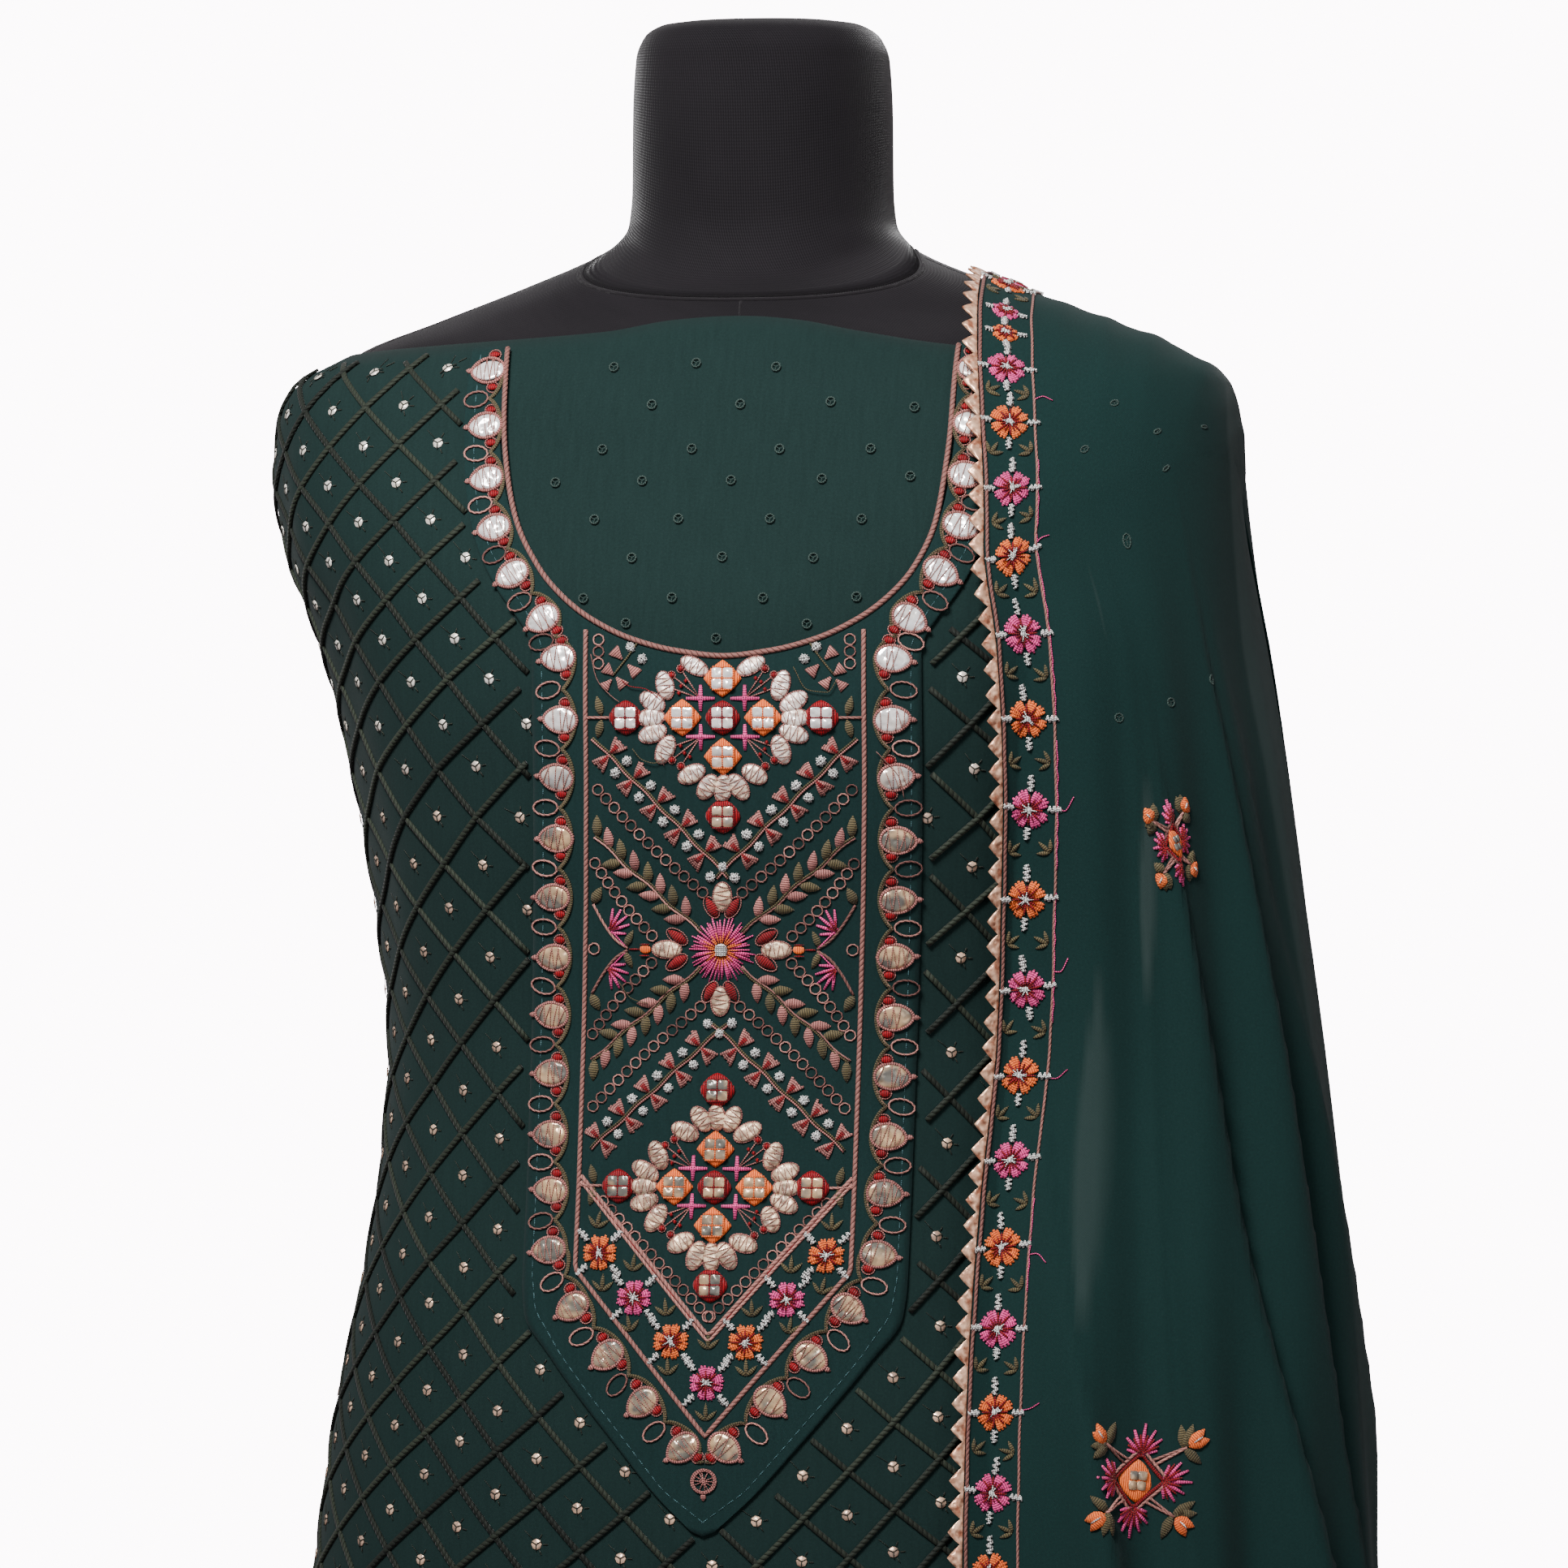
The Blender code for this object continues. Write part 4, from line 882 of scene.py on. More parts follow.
def makePatch():
    # both halves from the table of rows, laid on the front and joined where they meet below the yoke
    count = len(patchRows)
    at = np.linspace(0, count - 1, (count - 1) * patch["rowsBetween"] + 1)
    outerX, outerZ, innerX, innerZ = (smooth(np.arange(count), column, at)[:, None] for column in patchRows.T)
    share = np.linspace(0, 1, patch["columns"] + 1)[None, :]
    x, z = outerX + (innerX - outerX) * share, outerZ + (innerZ - outerZ) * share
    halves = []
    for side in (-1, 1):
        here, out = onPanel(side * x, z)
        halves.append((here + out * body["lay"])[::side])
    index = np.arange(x.size).reshape(x.shape)
    quads = cells(index).reshape(-1, 4)
    points = np.concatenate([half.reshape(-1, 3) for half in halves])
    quads = np.concatenate([quads, quads + x.size])
    flat = points[:, (0, 2)][quads]
    _, first, place = np.unique(np.round(points, 5), axis=0, return_index=True, return_inverse=True)
    quads, tones = place.reshape(-1)[quads], np.full(len(first), 0.5)
    finish = patchGeorgette, "patch_georgette", ("neck_patch",)
    return addWall(finishMesh("neckPatch", points[first], quads, flat, tones, *finish), body["patch"], 1.0)


legRings = metres([  # z, middle, half width, depth, share of the seat's section
    (52, 103, 69, 50, 0), (115, 103, 70, 51, 0), (180, 104, 90, 70, 0), (300, 104, 98, 92, 0),
    (450, 98, 94, 106, 0.3), (580, 91, 88.5, 114, 0.7), (699.7, 91, 88.5, 122, 1),
], 4)
legs = {
    "inseam": 0.0003, "seamAt": 0.72, "folds": 7, "foldDepth": 0.0080, "fineDepth": 0.0016,
    "foot": 0.1153, "cuffTop": 0.1150, "cuffFoot": 0.052, "seatFoot": 0.700, "beltFoot": 0.868, "beltTop": 0.950,
}


def legPoints(turn, z, side):
    # half of the seat at the top, an oval at the cuff, with folds between; turn runs 0 to 1 round the leg
    middle, half, depth, share = ringAt(legRings, z)
    seam, inseam = legs["seamAt"], legs["inseam"]
    outer = np.clip(turn / seam, 0, 1) * math.pi
    inner = np.clip((turn - seam) / (1 - seam), 0, 1)
    seat = roundBody(seatRings, quarterTurn + outer, np.full_like(z, legs["seatFoot"]))
    halfX = np.where(turn <= seam, np.maximum(np.abs(seat[..., 0]), inseam), inseam)
    halfY = np.where(turn <= seam, seat[..., 1], seatRings[0, 4] - (seatRings[0, 3] + seatRings[0, 4]) * inner)
    around = turn * fullTurn - math.pi * seam
    x = share * halfX + (1 - share) * (middle + half * np.cos(around))
    y = share * halfY + (1 - share) * depth * np.sin(around)
    pinch = np.clip((z - legs["cuffTop"]) / 0.05, 0, 1) * np.clip((legs["seatFoot"] - z) / 0.20, 0, 1)
    pinch = pinch * np.clip(2 - 2 * np.abs(inner), 0, 1)
    fold = legs["foldDepth"] * np.cos(legs["folds"] * around)
    fold = pinch * (fold + legs["fineDepth"] * np.cos(2 * legs["folds"] * around + 1.0))
    x = np.maximum(x + fold * np.cos(around) * (1 - inner), inseam)
    return np.stack(np.broadcast_arrays(side * x, y + fold * np.sin(around), z), axis=-1)


def makeSalwar():
    # a belt round the form, a seat gathered under it, and legs that narrow to their cuffs
    angle = np.arange(salwar["roundColumns"])[None, :] * fullTurn / salwar["roundColumns"]
    z = np.linspace(legs["beltFoot"], legs["beltTop"], 24)[:, None]
    hips = roundBody(torsoRings, angle, z)
    belt = hips + unit(hips * (1, 1, 0)) * (1.5 * body["lay"] + body["cloth"])
    z = np.linspace(legs["seatFoot"], legs["beltFoot"] - seamGap, 40)[:, None]
    seat = roundBody(seatRings, angle, z)
    fade = np.clip((z - 0.80) / 0.06, 0, 1) * np.clip((legs["beltFoot"] - z) / 0.008, 0, 1)
    gathers = np.cos(angle * salwar["gathers"]) * salwar["gatherDepth"] * fade
    seat = seat + unit(seat * (1, 1, 0)) * gathers[..., None]
    seat[-1] = belt[0] - (0, 0, seamGap)
    made = {"Belt": belt, "Seat": seat}
    turn = np.arange(salwar["legColumns"])[None, :] / salwar["legColumns"]
    for side, hand in ((-1, "Left"), (1, "Right")):
        z = np.linspace(legs["foot"], legs["seatFoot"] - seamGap, salwar["legRows"])[:, None]
        made[f"{hand}Leg"] = legPoints(turn, z, side)[::side]
        z = np.linspace(legs["cuffFoot"], legs["cuffTop"], 12)[:, None]
        made[f"{hand}Cuff"] = legPoints(turn, z, side)[::side]
    nodes = {name: "salwar" + "".join("_" + c.lower() if c.isupper() else c for c in name) for name in made}
    return [
        gridPiece(f"salwar{name}", points, crepe, "crepe", (nodes[name],), closed=True, wall=body["cloth"])
        for name, points in made.items()
    ]


kameezFront, kameezBack = makeKameez()
neckPatch = makePatch()
salwarPieces = makeSalwar()
print("kameez and salwar made")


# the dupatta: rows from the front hem, over the shoulder, to the back hem
frontLevels = metres([  # z, inner edge x, bend x and y, side x and y
    (470, 99, 258, -160, 293, 0), (580, 100, 254, -156, 289, 0), (690, 100, 248, -151, 284, 0),
    (790, 100.5, 242, -146, 278.5, 0), (870, 100.5, 236, -139, 272, 0), (930, 101, 231, -131, 268, 0),
    (990, 102, 226, -121, 263, -2), (1050, 105, 221, -114, 256, -3), (1110, 110.5, 216, -112, 249, -4),
    (1170, 113.5, 211, -116, 241, -5), (1230, 116, 206, -120, 233, -6), (1285, 114, 201, -116, 224, -7),
])
backLevels = metres([
    (1285, 112, 200, 108, 224, 10), (1230, 109, 205, 110, 232, 12), (1170, 105, 211, 113, 239.5, 14),
    (1110, 101, 215, 117, 246.5, 16), (1050, 97, 220, 124, 253, 18), (990, 94, 225, 133, 259, 18),
    (920, 90, 231, 141, 265, 19), (840, 86, 237, 149, 271, 20), (750, 82, 243, 155, 276.5, 20),
    (650, 78, 248, 160, 281.5, 20), (540, 75, 252, 164, 286, 20), (420, 72, 256, 168, 290, 20),
])
# folds: place across at the shoulder and at the hem, depth at the hem, width of the left and right slopes,
# where it starts (0 at the shoulder, 1 at the hem)
frontFolds = metres([
    (0.26, 0.24, 11, 0.075, 0.075, 0), (0.5, 0.46, 13, 0.075, 0.075, 0), (0.72, 0.68, 16, 0.08, 0.08, 0),
    (0.9, 0.88, 11, 0.07, 0.07, 0), (0.351, 0.884, 17, 0.085, 0.01, 0.1), (0.617, 0.95, 15, 0.07, 0.009, 0.02),
    (-0.063, 0.47, 12, 0.08, 0.012, 0.26), (0.066, 0.413, 3.5, 0.034, 0.014, 0.2),
    (0.36, 0.42, 3.5, 0.034, 0.016, 0.08), (0.633, 1.3, 6.5, 0.05, 0.022, 0), (0.373, 0.46, 2.6, 0.03, 0.02, 0),
    (0.14, 0.16, 1.8, 0.03, 0.02, 0.3),
], 0, 1, 3, 4, 5)
backFolds = metres([
    (0.22, 0.2, 13, 0.075, 0.075, 0), (0.46, 0.44, 15, 0.08, 0.08, 0), (0.7, 0.68, 15, 0.08, 0.08, 0),
    (0.9, 0.9, 10, 0.07, 0.07, 0), (0.34, 0.3, 3, 0.035, 0.016, 0.2), (0.58, 0.55, 4.5, 0.016, 0.034, 0.12),
    (0.8, 0.8, 4.5, 0.035, 0.014, 0.25), (0.12, 0.1, 1.8, 0.03, 0.018, 0.35),
], 0, 1, 3, 4, 5)
# shallow pleats where the cloth is gathered on the shoulder: place across, height, width
shoulderPleats = metres([
    (0.24, 0.6, 0.034), (0.38, 0.9, 0.03), (0.52, 1.1, 0.034), (0.66, 1, 0.026), (0.8, 0.8, 0.024),
], 0, 2)
dupatta = {
    "columns": 140, "rowsBetween": 3, "edgeLift": 0.0045, "restLift": 0.0017, "shoulderRows": 20,
    "hub": (0.101, 0.044, 1.310), "hubBulge": 0.013, "tilt": 62.0, "reachInner": 85.0, "reachOuter": 6.0,
    "toothPitch": 0.0108, "toothHeight": 0.0055, "toothBand": 0.0020, "edgingWall": 0.0009,
    # single layers of cloth, painted lighter as light from behind shines through them: x at the top and below, half
    # width, top, foot, strength
    "slivers": metres([(181, 180, 3.8, 1222, 1140, 0.62), (160, 154, 8.5, 1134, 1000, 0.45)], 5),
    "outerBacklit": (0.66, 1.01, 0.6),  # the outer single layer, painted lighter too: where it starts and ends across, its strength
}


def insideBody(points, clearance):
    # below 1 inside the clothed body grown by the clearance, above 1 outside it
    x, y, z = np.moveaxis(points, -1, 0)
    left, right, front, back, square = ringAt(np.concatenate([kameezRings, shoulderRings]), z)
    angle = np.arctan2(-y / front, -x / left) % fullTurn
    grow = clearance + foldHeight(angle, z)
    wide = np.where(x < 0, left, right) + grow
    deep = np.where(y < 0, front, back) + grow
    return ((np.abs(x) / wide) ** square + (np.abs(y) / deep) ** square) ** (1 / square)


def overShoulder(across, share, lift):
    # rays from hubs inside the shoulder, halved towards the place where each leaves the body
    reach = np.radians(dupatta["reachInner"] + (dupatta["reachOuter"] - dupatta["reachInner"]) * across**2)
    turn = share[:, None] * reach[None, :]
    tilt = np.radians(dupatta["tilt"]) * across[None, :] ** 1.3
    hubX, hubOut, hubZ = dupatta["hub"]
    middle = hubX + hubOut * across[None, :] + dupatta["hubBulge"] * np.sin(turn) ** 2 * (1 - across[None, :])
    hub = np.stack(np.broadcast_arrays(middle, 0.0 * turn, hubZ), axis=-1)
    level = np.cos(tilt)
    ray = np.stack(np.broadcast_arrays(np.sin(tilt), level * np.sin(turn), level * np.cos(turn)), axis=-1)
    near, far = np.zeros(turn.shape), np.full(turn.shape, 0.30)
    for _ in range(32):
        half = (near + far) / 2
        within = insideBody(hub + ray * half[..., None], lift) < 1
        near, far = np.where(within, half, near), np.where(within, far, half)
    return hub + ray * far[..., None]


def hangingRows(levels, across, lift):
    # in plan each row is a curve from the inner edge on the kameez, bent towards a point, to the side
    z, edgeX, bendX, bendY, sideX, sideY = (column[:, None] for column in levels.T)
    left, right, front, back, square = ringAt(kameezRings, z)
    facing = np.sign(bendY)
    edgeY = facing * np.where(facing < 0, front, back) * (1 - (edgeX / right) ** square) ** (1 / square)
    start, bend, end = (1 - across) ** 2, 2 * across * (1 - across), across**2
    x = start * edgeX + bend * bendX + end * sideX
    y = start * edgeY + bend * bendY + end * sideY
    points = np.stack(np.broadcast_arrays(x, y, z), axis=-1)
    push = np.maximum(1.0, 1.0 / insideBody(points, lift))[..., None]
    return points * np.concatenate([push, push, np.ones_like(push)], axis=-1)


def gridNormals(points):
    # the way out of each point of a grid: its row's direction crossed with its column's
    up, along = np.gradient(points, axis=(0, 1))
    return unit(np.cross(along, up))


def betweenRows(rows, times):
    # more rows between those given: a cubic whose slope at each row weighs the steps on its two sides
    step = np.sqrt(np.maximum(np.linalg.norm(np.diff(rows, axis=0), axis=-1), 1e-6))[..., None]
    slope = np.diff(rows, axis=0) / step
    inner = (slope[:-1] * step[1:] + slope[1:] * step[:-1]) / (step[:-1] + step[1:])
    slope = np.concatenate([slope[:1], inner, slope[-1:]])
    made = []
    for t in np.arange(times) / times:
        made.append(
            (2 * t**3 - 3 * t**2 + 1) * rows[:-1] + (t**3 - 2 * t**2 + t) * step * slope[:-1]
            + (3 * t**2 - 2 * t**3) * rows[1:] + (t**3 - t**2) * step * slope[1:]
        )
    return np.concatenate([np.stack(made, axis=1).reshape(-1, *rows.shape[1:]), rows[-1:]])


def dupattaGrid(across):
    # the lower falls and the shoulder as rows, raised by folds that deepen downwards and by the shoulder's pleats
    edge = dupatta["edgeLift"] * (1 - np.clip(across / 0.35, 0, 1)) ** 2
    lift = (body["chiffon"] + dupatta["restLift"] + edge)[None, :]
    count = dupatta["shoulderRows"]
    front = hangingRows(frontLevels, across, lift)
    top = overShoulder(across, np.linspace(-1, 1, count + 1), lift)
    base = np.concatenate([front, top, hangingRows(backLevels, across, lift)])
    middle = len(front) + count // 2
    base = betweenRows(base, dupatta["rowsBetween"])
    middle, last = middle * dupatta["rowsBetween"], len(base) - 1
    out = gridNormals(base)
    row = np.arange(len(base))
    still = count // 2 * dupatta["rowsBetween"]
    height = np.zeros(base.shape[:2])
    inFront, behind = (middle - row - still) / (middle - still), (row - middle - still) / (last - middle - still)
    for folds, down in ((frontFolds, inFront), (backFolds, behind)):
        down = np.clip(down, 0, 1)[:, None]
        for top, hem, depth, leftSlope, rightSlope, start in folds:
            off = across[None, :] - (top + (hem - top) * down)
            slope = np.where(off < 0, leftSlope, rightSlope)
            grown = np.clip((down - start) / (1 - start), 0, 1)
            height += depth * grown * (1.7 - 0.7 * grown) * np.exp(-((off / slope) ** 2))
    near = np.exp(-(((row - middle) / (5.0 * dupatta["rowsBetween"])) ** 2))[:, None]
    for place, tall, slope in shoulderPleats:
        lean = place + 0.02 * np.sin((row - middle)[:, None] / 22.0 + place * 9)
        height += tall * near * np.exp(-(((across[None, :] - lean) / slope) ** 2))
    return base + out * height[..., None], middle


acrossFine = np.linspace(0, 1, dupatta["columns"] + 1)
fallGrid, fallMiddle = dupattaGrid(acrossFine)
fallOut = gridNormals(fallGrid)
inwardTable, edgeLength = lengths(fallGrid, 1), lengths(fallGrid[:, 0])
edgeDown = edgeLength[fallMiddle] - edgeLength  # along the inner edge: 0 on the shoulder, more than 0 in front


def onFall(inward, down):
    # a place on the chiffon by its distance in from the inner edge and down along that edge
    inward, down = np.broadcast_arrays(np.asarray(inward, float), np.asarray(down, float))
    row = np.interp(-down.ravel(), -edgeDown, np.arange(len(fallGrid)))
    i = np.minimum(row.astype(int), len(fallGrid) - 2)
    part = (row - i)[:, None]
    reach = inwardTable[i] * (1 - part) + inwardTable[i + 1] * part
    far = inward.ravel()[:, None]
    j = np.clip((reach <= far).sum(axis=1) - 1, 0, reach.shape[1] - 2)
    pick = np.arange(len(j))
    s = ((far[:, 0] - reach[pick, j]) / (reach[pick, j + 1] - reach[pick, j]))[:, None]
    found = []
    for grid in (fallGrid, fallOut):
        found.append(insideCell(grid, i, j, part, s).reshape(inward.shape + (3,)))
    return found[0], unit(found[1])


def backlitPlaces():
    # 1 where one layer hangs alone in front, to be painted lighter as light from behind shines through it: each
    # sliver is a lens about its line, sharp on its left and soft on its right, and past the outer line the cloth is
    # one layer too
    down = np.clip((fallMiddle - np.arange(len(fallGrid))) / fallMiddle, 0, 1)[:, None]
    thin = np.zeros(fallGrid.shape[:2])
    for atTop, atLow, wide, top, low, depth in dupatta["slivers"]:
        part = np.clip((top - fallGrid[..., 2]) / (top - low), 0, 1)
        wide = np.maximum(wide * np.sin(math.pi * part) ** 0.6, 1e-5)
        off = (fallGrid[..., 0] - atTop - (atLow - atTop) * part) / wide
        thin += depth * (down > 0) * np.clip((off + 1) / 0.4, 0, 1) * np.clip(1.3 - off, 0, 1)
    top, low, depth = dupatta["outerBacklit"]
    past = np.clip((acrossFine - top - (low - top) * down) / 0.012, 0, 1)
    return np.clip(thin + depth * past * np.clip(down / 0.06, 0, 1), 0, 1)


def makeDupatta():
    # the cloth itself, with the places painted lighter by light from behind stored as tones
    nodes = ("dupatta_front_fall", "dupatta_back_fall")
    return gridPiece("dupattaCloth", fallGrid, chiffon, "chiffon", nodes, wall=body["chiffon"], tones=backlitPlaces())


def makeEdging():
    # a strip of foil with a row of pointed teeth, standing out from the cloth's inner edge
    edge, beside = fallGrid[:, 0], fallGrid[:, 5]
    outward = unit(edge - beside)
    count, steps = int((edgeLength[-1] - 0.002) / dupatta["toothPitch"]), 6
    at = np.linspace(0.001, edgeLength[-1] - 0.001, count * steps + 1)
    phase = np.arange(len(at)) % steps / steps
    tooth = (1 - np.abs(2 * phase - 1)) ** 0.8 * dupatta["toothHeight"]
    place, way, normal = (
        np.stack([np.interp(at, edgeLength, column) for column in line.T], axis=1)
        for line in (edge, outward, fallOut[:, 0])
    )
    band = dupatta["toothBand"]
    reach = np.stack(np.broadcast_arrays(0.0006, 0.0011, band, band + tooth * 0.5, band + tooth), axis=1)
    curl = np.array([0, 0.0002, 0.0003, 0.0004, 0.0001])
    points = place[:, None] + unit(way)[:, None] * reach[..., None] + unit(normal)[:, None] * curl[None, :, None]
    nodes = ("dupatta_edging_front", "dupatta_edging_back")
    return gridPiece("dupattaEdging", points[:, ::-1], gotaFoil, "gota", nodes, wall=dupatta["edgingWall"])


dupattaCloth = makeDupatta()
dupattaEdging = makeEdging()
print("dupatta made")


# the lattice of twisted cord over the kameez, with a sequin in each cell
lattice = {
    "cordWide": 0.0016, "cordTall": 0.0010, "cordHigh": 0.0004, "step": 0.006,
    "sequinRadius": 0.0025, "sequinThick": 0.0004, "edgeRoom": 0.0045, "backPitch": 0.0400,
}
# at each height: the cords' pitch across, the sideways shift of their middle, and how far rows rise
# towards the sides
latticePitch = metres([
    (330, 40, 0, 0.8), (700, 39.6, -1, 1.1), (895, 38.9, -1, 1.15), (950, 38.6, -1.5, 1.05),
    (990, 38.6, -2.5, 0.85), (1034, 39.1, -3.7, 0.65), (1072, 39.8, -2.9, 0.58), (1112, 40.5, -1.5, 0.4),
    (1152, 41.7, -0.8, 0.14), (1190, 43.3, 1, 0), (1212, 44.5, 1.8, -0.1), (1232, 44, 2.2, -0.14),
    (1251, 42.8, 3, -0.15), (1270, 41.6, 3.4, -0.15), (1305, 39.3, 3.9, -0.15), (1340, 37.8, 3.2, -0.15),
    (1430, 37.2, 2, -0.15),
], 3)
# height of every fourth cord crossing down the middle, against its count of rows
latticeRows = metres([
    (330, 26.55), (505.7, 22), (700.7, 16.76), (875.7, 12), (912.5, 11), (949.3, 10), (989.2, 9), (1027.7, 8),
    (1067.2, 7), (1108, 6), (1150.4, 5), (1190.3, 4), (1233, 3), (1271.5, 2), (1306.4, 1), (1340.5, 0),
    (1374, -1), (1407.5, -2), (1441, -3),
], 1)


def arcTable(back):
    # round the front or the back at each height: the angle at even steps of arc from the middle
    heights = np.linspace(body["hem"], 1.436, 300)
    first = math.pi if back else 0.0
    angle = np.linspace(first, first + math.pi, 721)[None, :]
    points = kameezPoint(angle, heights[:, None])
    arc = lengths(points, 1)
    x = points[..., 0] * (-1 if back else 1)
    middle = np.array([np.interp(0.0, row, line) for row, line in zip(x, arc)])
    even = np.linspace(-0.42, 0.42, 841)
    return heights, even, np.stack([np.interp(even, line - start, angle[0]) for line, start in zip(arc, middle)])


arcTables = {back: arcTable(back) for back in (False, True)}


def angleAtArc(arc, z, back):
    # the angle at a length of arc from the middle, read from the table
    heights, even, angles = arcTables[back]
    row = np.clip((z - heights[0]) / (heights[1] - heights[0]), 0, len(heights) - 1.001)
    column = np.clip((arc - even[0]) / (even[1] - even[0]), 0, len(even) - 1.001)
    i, j = row.astype(int), column.astype(int)
    return insideCell(angles, i, j, row - i, column - j)


def latticePlace(p, q, back):
    # from the count of columns and rows to arc and height: each sets the other, so they're settled in turn
    z = np.interp(q, latticeRows[::-1, 1], latticeRows[::-1, 0])
    if back:
        return (p - 0.5) * lattice["backPitch"] * np.interp(z, (0.33, 1.1, 1.26, 1.43), (1.0, 1.0, 0.985, 0.94)), z
    level = z
    for _ in range(7):
        pitch, shift, bend = (np.interp(z, latticePitch[:, 0], column) for column in latticePitch.T[1:])
        arc = (p - 0.5) * pitch + shift
        z = level + bend * arc**2 / (1 + (arc / 0.2) ** 2)
    return arc, z


def patchReach(z):
    # how far the patch and the yoke inside it reach from the panel's middle
    return np.interp(z, patchRows[::-1, 1], patchRows[::-1, 0], left=-1.0, right=0.1150)


def onWeave(p, q, back):
    # the place, and the way out of it, at a count of columns and rows
    arc, z = latticePlace(p, q, back)
    angle = angleAtArc(arc, z, back)
    here, out = kameezAt(angle, z)
    return angle, z, here, out


def clearOfEdges(angle, z, here, back, room):
    # True on the open cloth: away from the side seams, the hem, the top and the patch
    first = math.pi if back else 0.0
    margin = slitAngle(z, room)
    share = np.clip((angle - first - margin) / (math.pi - 2 * margin), 0, 1)
    good = (angle > first + margin) & (angle < first + math.pi - margin)
    good &= (z > body["hem"] + room) & (z < kameezTop(share, back) - room)
    if not back:
        beside = np.abs(here[..., 0] - panelLean(z))
        good &= beside > np.where(z > 0.907, patchReach(z) + 0.0015, -1)
    return good


def makeLattice(back):
    # cords of both families as tubes over the kameez, then a sequin with its ties in the middle of each cell
    name = "Back" if back else "Front"
    cords, shells, ties = newBag(), newBag(), newBag()
    t = np.arange(-32, 32, lattice["step"] / 0.0276)[None, :]
    lines = np.arange(-14, 40)[:, None] + 0.5
    for way in (1, -1):
        # along a line of this family p and q change together, by half a pitch each for a whole step of t
        p, q = (lines * way + t) / 2, (lines - t * way) / 2
        angle, z, here, out = onWeave(p, q, back)
        good = clearOfEdges(angle, z, here, back, lattice["edgeRoom"])
        ends = good & (np.roll(good, 1, 1) | np.roll(good, -1, 1))
        # one family rises over the other where they cross
        crossing = (p + q * way - np.round(p + q * way - 0.5) - 0.5) / 0.045
        high = lattice["cordHigh"] * (1.0 + 0.9 * (way > 0) * np.exp(-(crossing**2)))
        wide, tall = (np.full(z.shape, lattice[key]) for key in ("cordWide", "cordTall"))
        tube(cords, here + out * high[..., None], out, wide, tall, 4, keep=ends)
    bagPiece(f"latticeCord{name}", cords, latticeCord, "lattice_cord")

    p, q = (grid.ravel() / 2 for grid in np.meshgrid(np.arange(-20, 24), np.arange(-8, 56)))
    whole = np.isclose((p - q) % 1, 0)
    p, q = p[whole] + dice.normal(0, 0.012, whole.sum()), q[whole] + dice.normal(0, 0.012, whole.sum())
    angle, z, here, out = onWeave(p, q, back)
    good = clearOfEdges(angle, z, here, back, lattice["edgeRoom"] + 0.004)
    angle, z = angle[good], z[good]
    disc = ovalOutline(lattice["sequinRadius"], lattice["sequinRadius"], 8)
    spin = dice.normal(0, 0.2, len(z))
    studs(shells, kameezAt, angle, z, disc, [(1.0, 0.0), (0.9, lattice["sequinThick"])], spin, 0.0002)
    bagPiece(f"sequins{name}", shells, sequinShell, "sequin")

    # short stitches beside each sequin: three over its middle, three rays and one long end,
    # each from one distance and turn to another, in millimetres and degrees, with its height, width and thickness
    perTurn = np.linalg.norm(kameezPoint(angle + 0.001, z) - kameezPoint(angle, z), axis=-1) / 0.001
    high = lattice["sequinThick"] * 1000 + 0.3
    ends = [(0, turn, 2.7, turn, high, 0.34, 0.26) for turn in (28, 152, 270)]
    rays = ((3, 5.2, 0), (2.9, 4.9, 62), (2.9, 5, -62))
    ends += [(near, turn, far, turn, 0.3, 0.32, 0.24) for near, far, turn in rays]
    ends += [(3, 128, 8.2, 134, 0.3, 0.16, 0.16)]
    for near, turn, far, farTurn, high, wide, tall in metres(ends, 1, 3):
        u, v = np.transpose([away(0, 0, near, math.radians(turn)), away(0, 0, far, math.radians(farTurn))])
        across, up = turned(0, 0, u, v, spin[:, None] * 0.6)
        stitch(ties, kameezAt, angle[:, None] + across / perTurn[:, None], z[:, None] + up, high, wide, tall, 4)
    bagPiece(f"sequinStitches{name}", ties, darkThread, "lattice_cord")


for back in (False, True):
    makeLattice(back)
print("lattice made")


# embroidery: small pieces laid on a surface, x across and z up from the panel's middle, in metres
ground = body["lay"] + body["patch"]  # the patch's outer face above the kameez
rose, satinRose, olive, red, orange, pink = (newBag() for _ in range(6))
silver, wraps, teal, gota, mirrors, rims, faint = (newBag() for _ in range(7))

threads = {
    "Cords": (rose, roseCord, "cord_rose"),
    "RoseStitches": (satinRose, roseSatin, "cord_rose"),
    "OliveStitches": (olive, oliveThread, "thread_olive"),
    "RedStitches": (red, redThread, "thread_red"),
    "OrangeStitches": (orange, orangeThread, "thread_orange"),
    "PinkStitches": (pink, pinkThread, "thread_pink"),
    "SilverStitches": (silver, silverThread, "thread_silver"),
    "WoundThreads": (wraps, wrapThread, "cord_rose"),
    "MirrorRims": (rims, roseSatin, "cord_rose"),
    "RunningStitch": (teal, tealThread, "thread_olive"),
    "FaintMarks": (faint, faintThread, "thread_olive"),
    "GotaPetals": (gota, petalFoil, "gota"),
    "Mirrors": (mirrors, mirrorFoil, "mirror_foil"),
}


def pourThreads(where):
    # each thread's stitches so far become one piece, and its bag starts empty again
    made = []
    for name, (bag, finish, slotName) in threads.items():
        if bag["points"]:
            made.append(bagPiece(where + name, bag, finish, slotName))
            print(where + name, sum(len(quads) for quads in bag["quads"]) * 2, "triangles")
            bag.update(newBag())
    return made


def cordAlong(bag, points, wide, tall, high, curved=False, step=0.003, surface=onPanel):
    # a cord laid along a line of points, with a place at each step
    stitch(bag, surface, *route(points, step, curved).T, high, wide, tall)


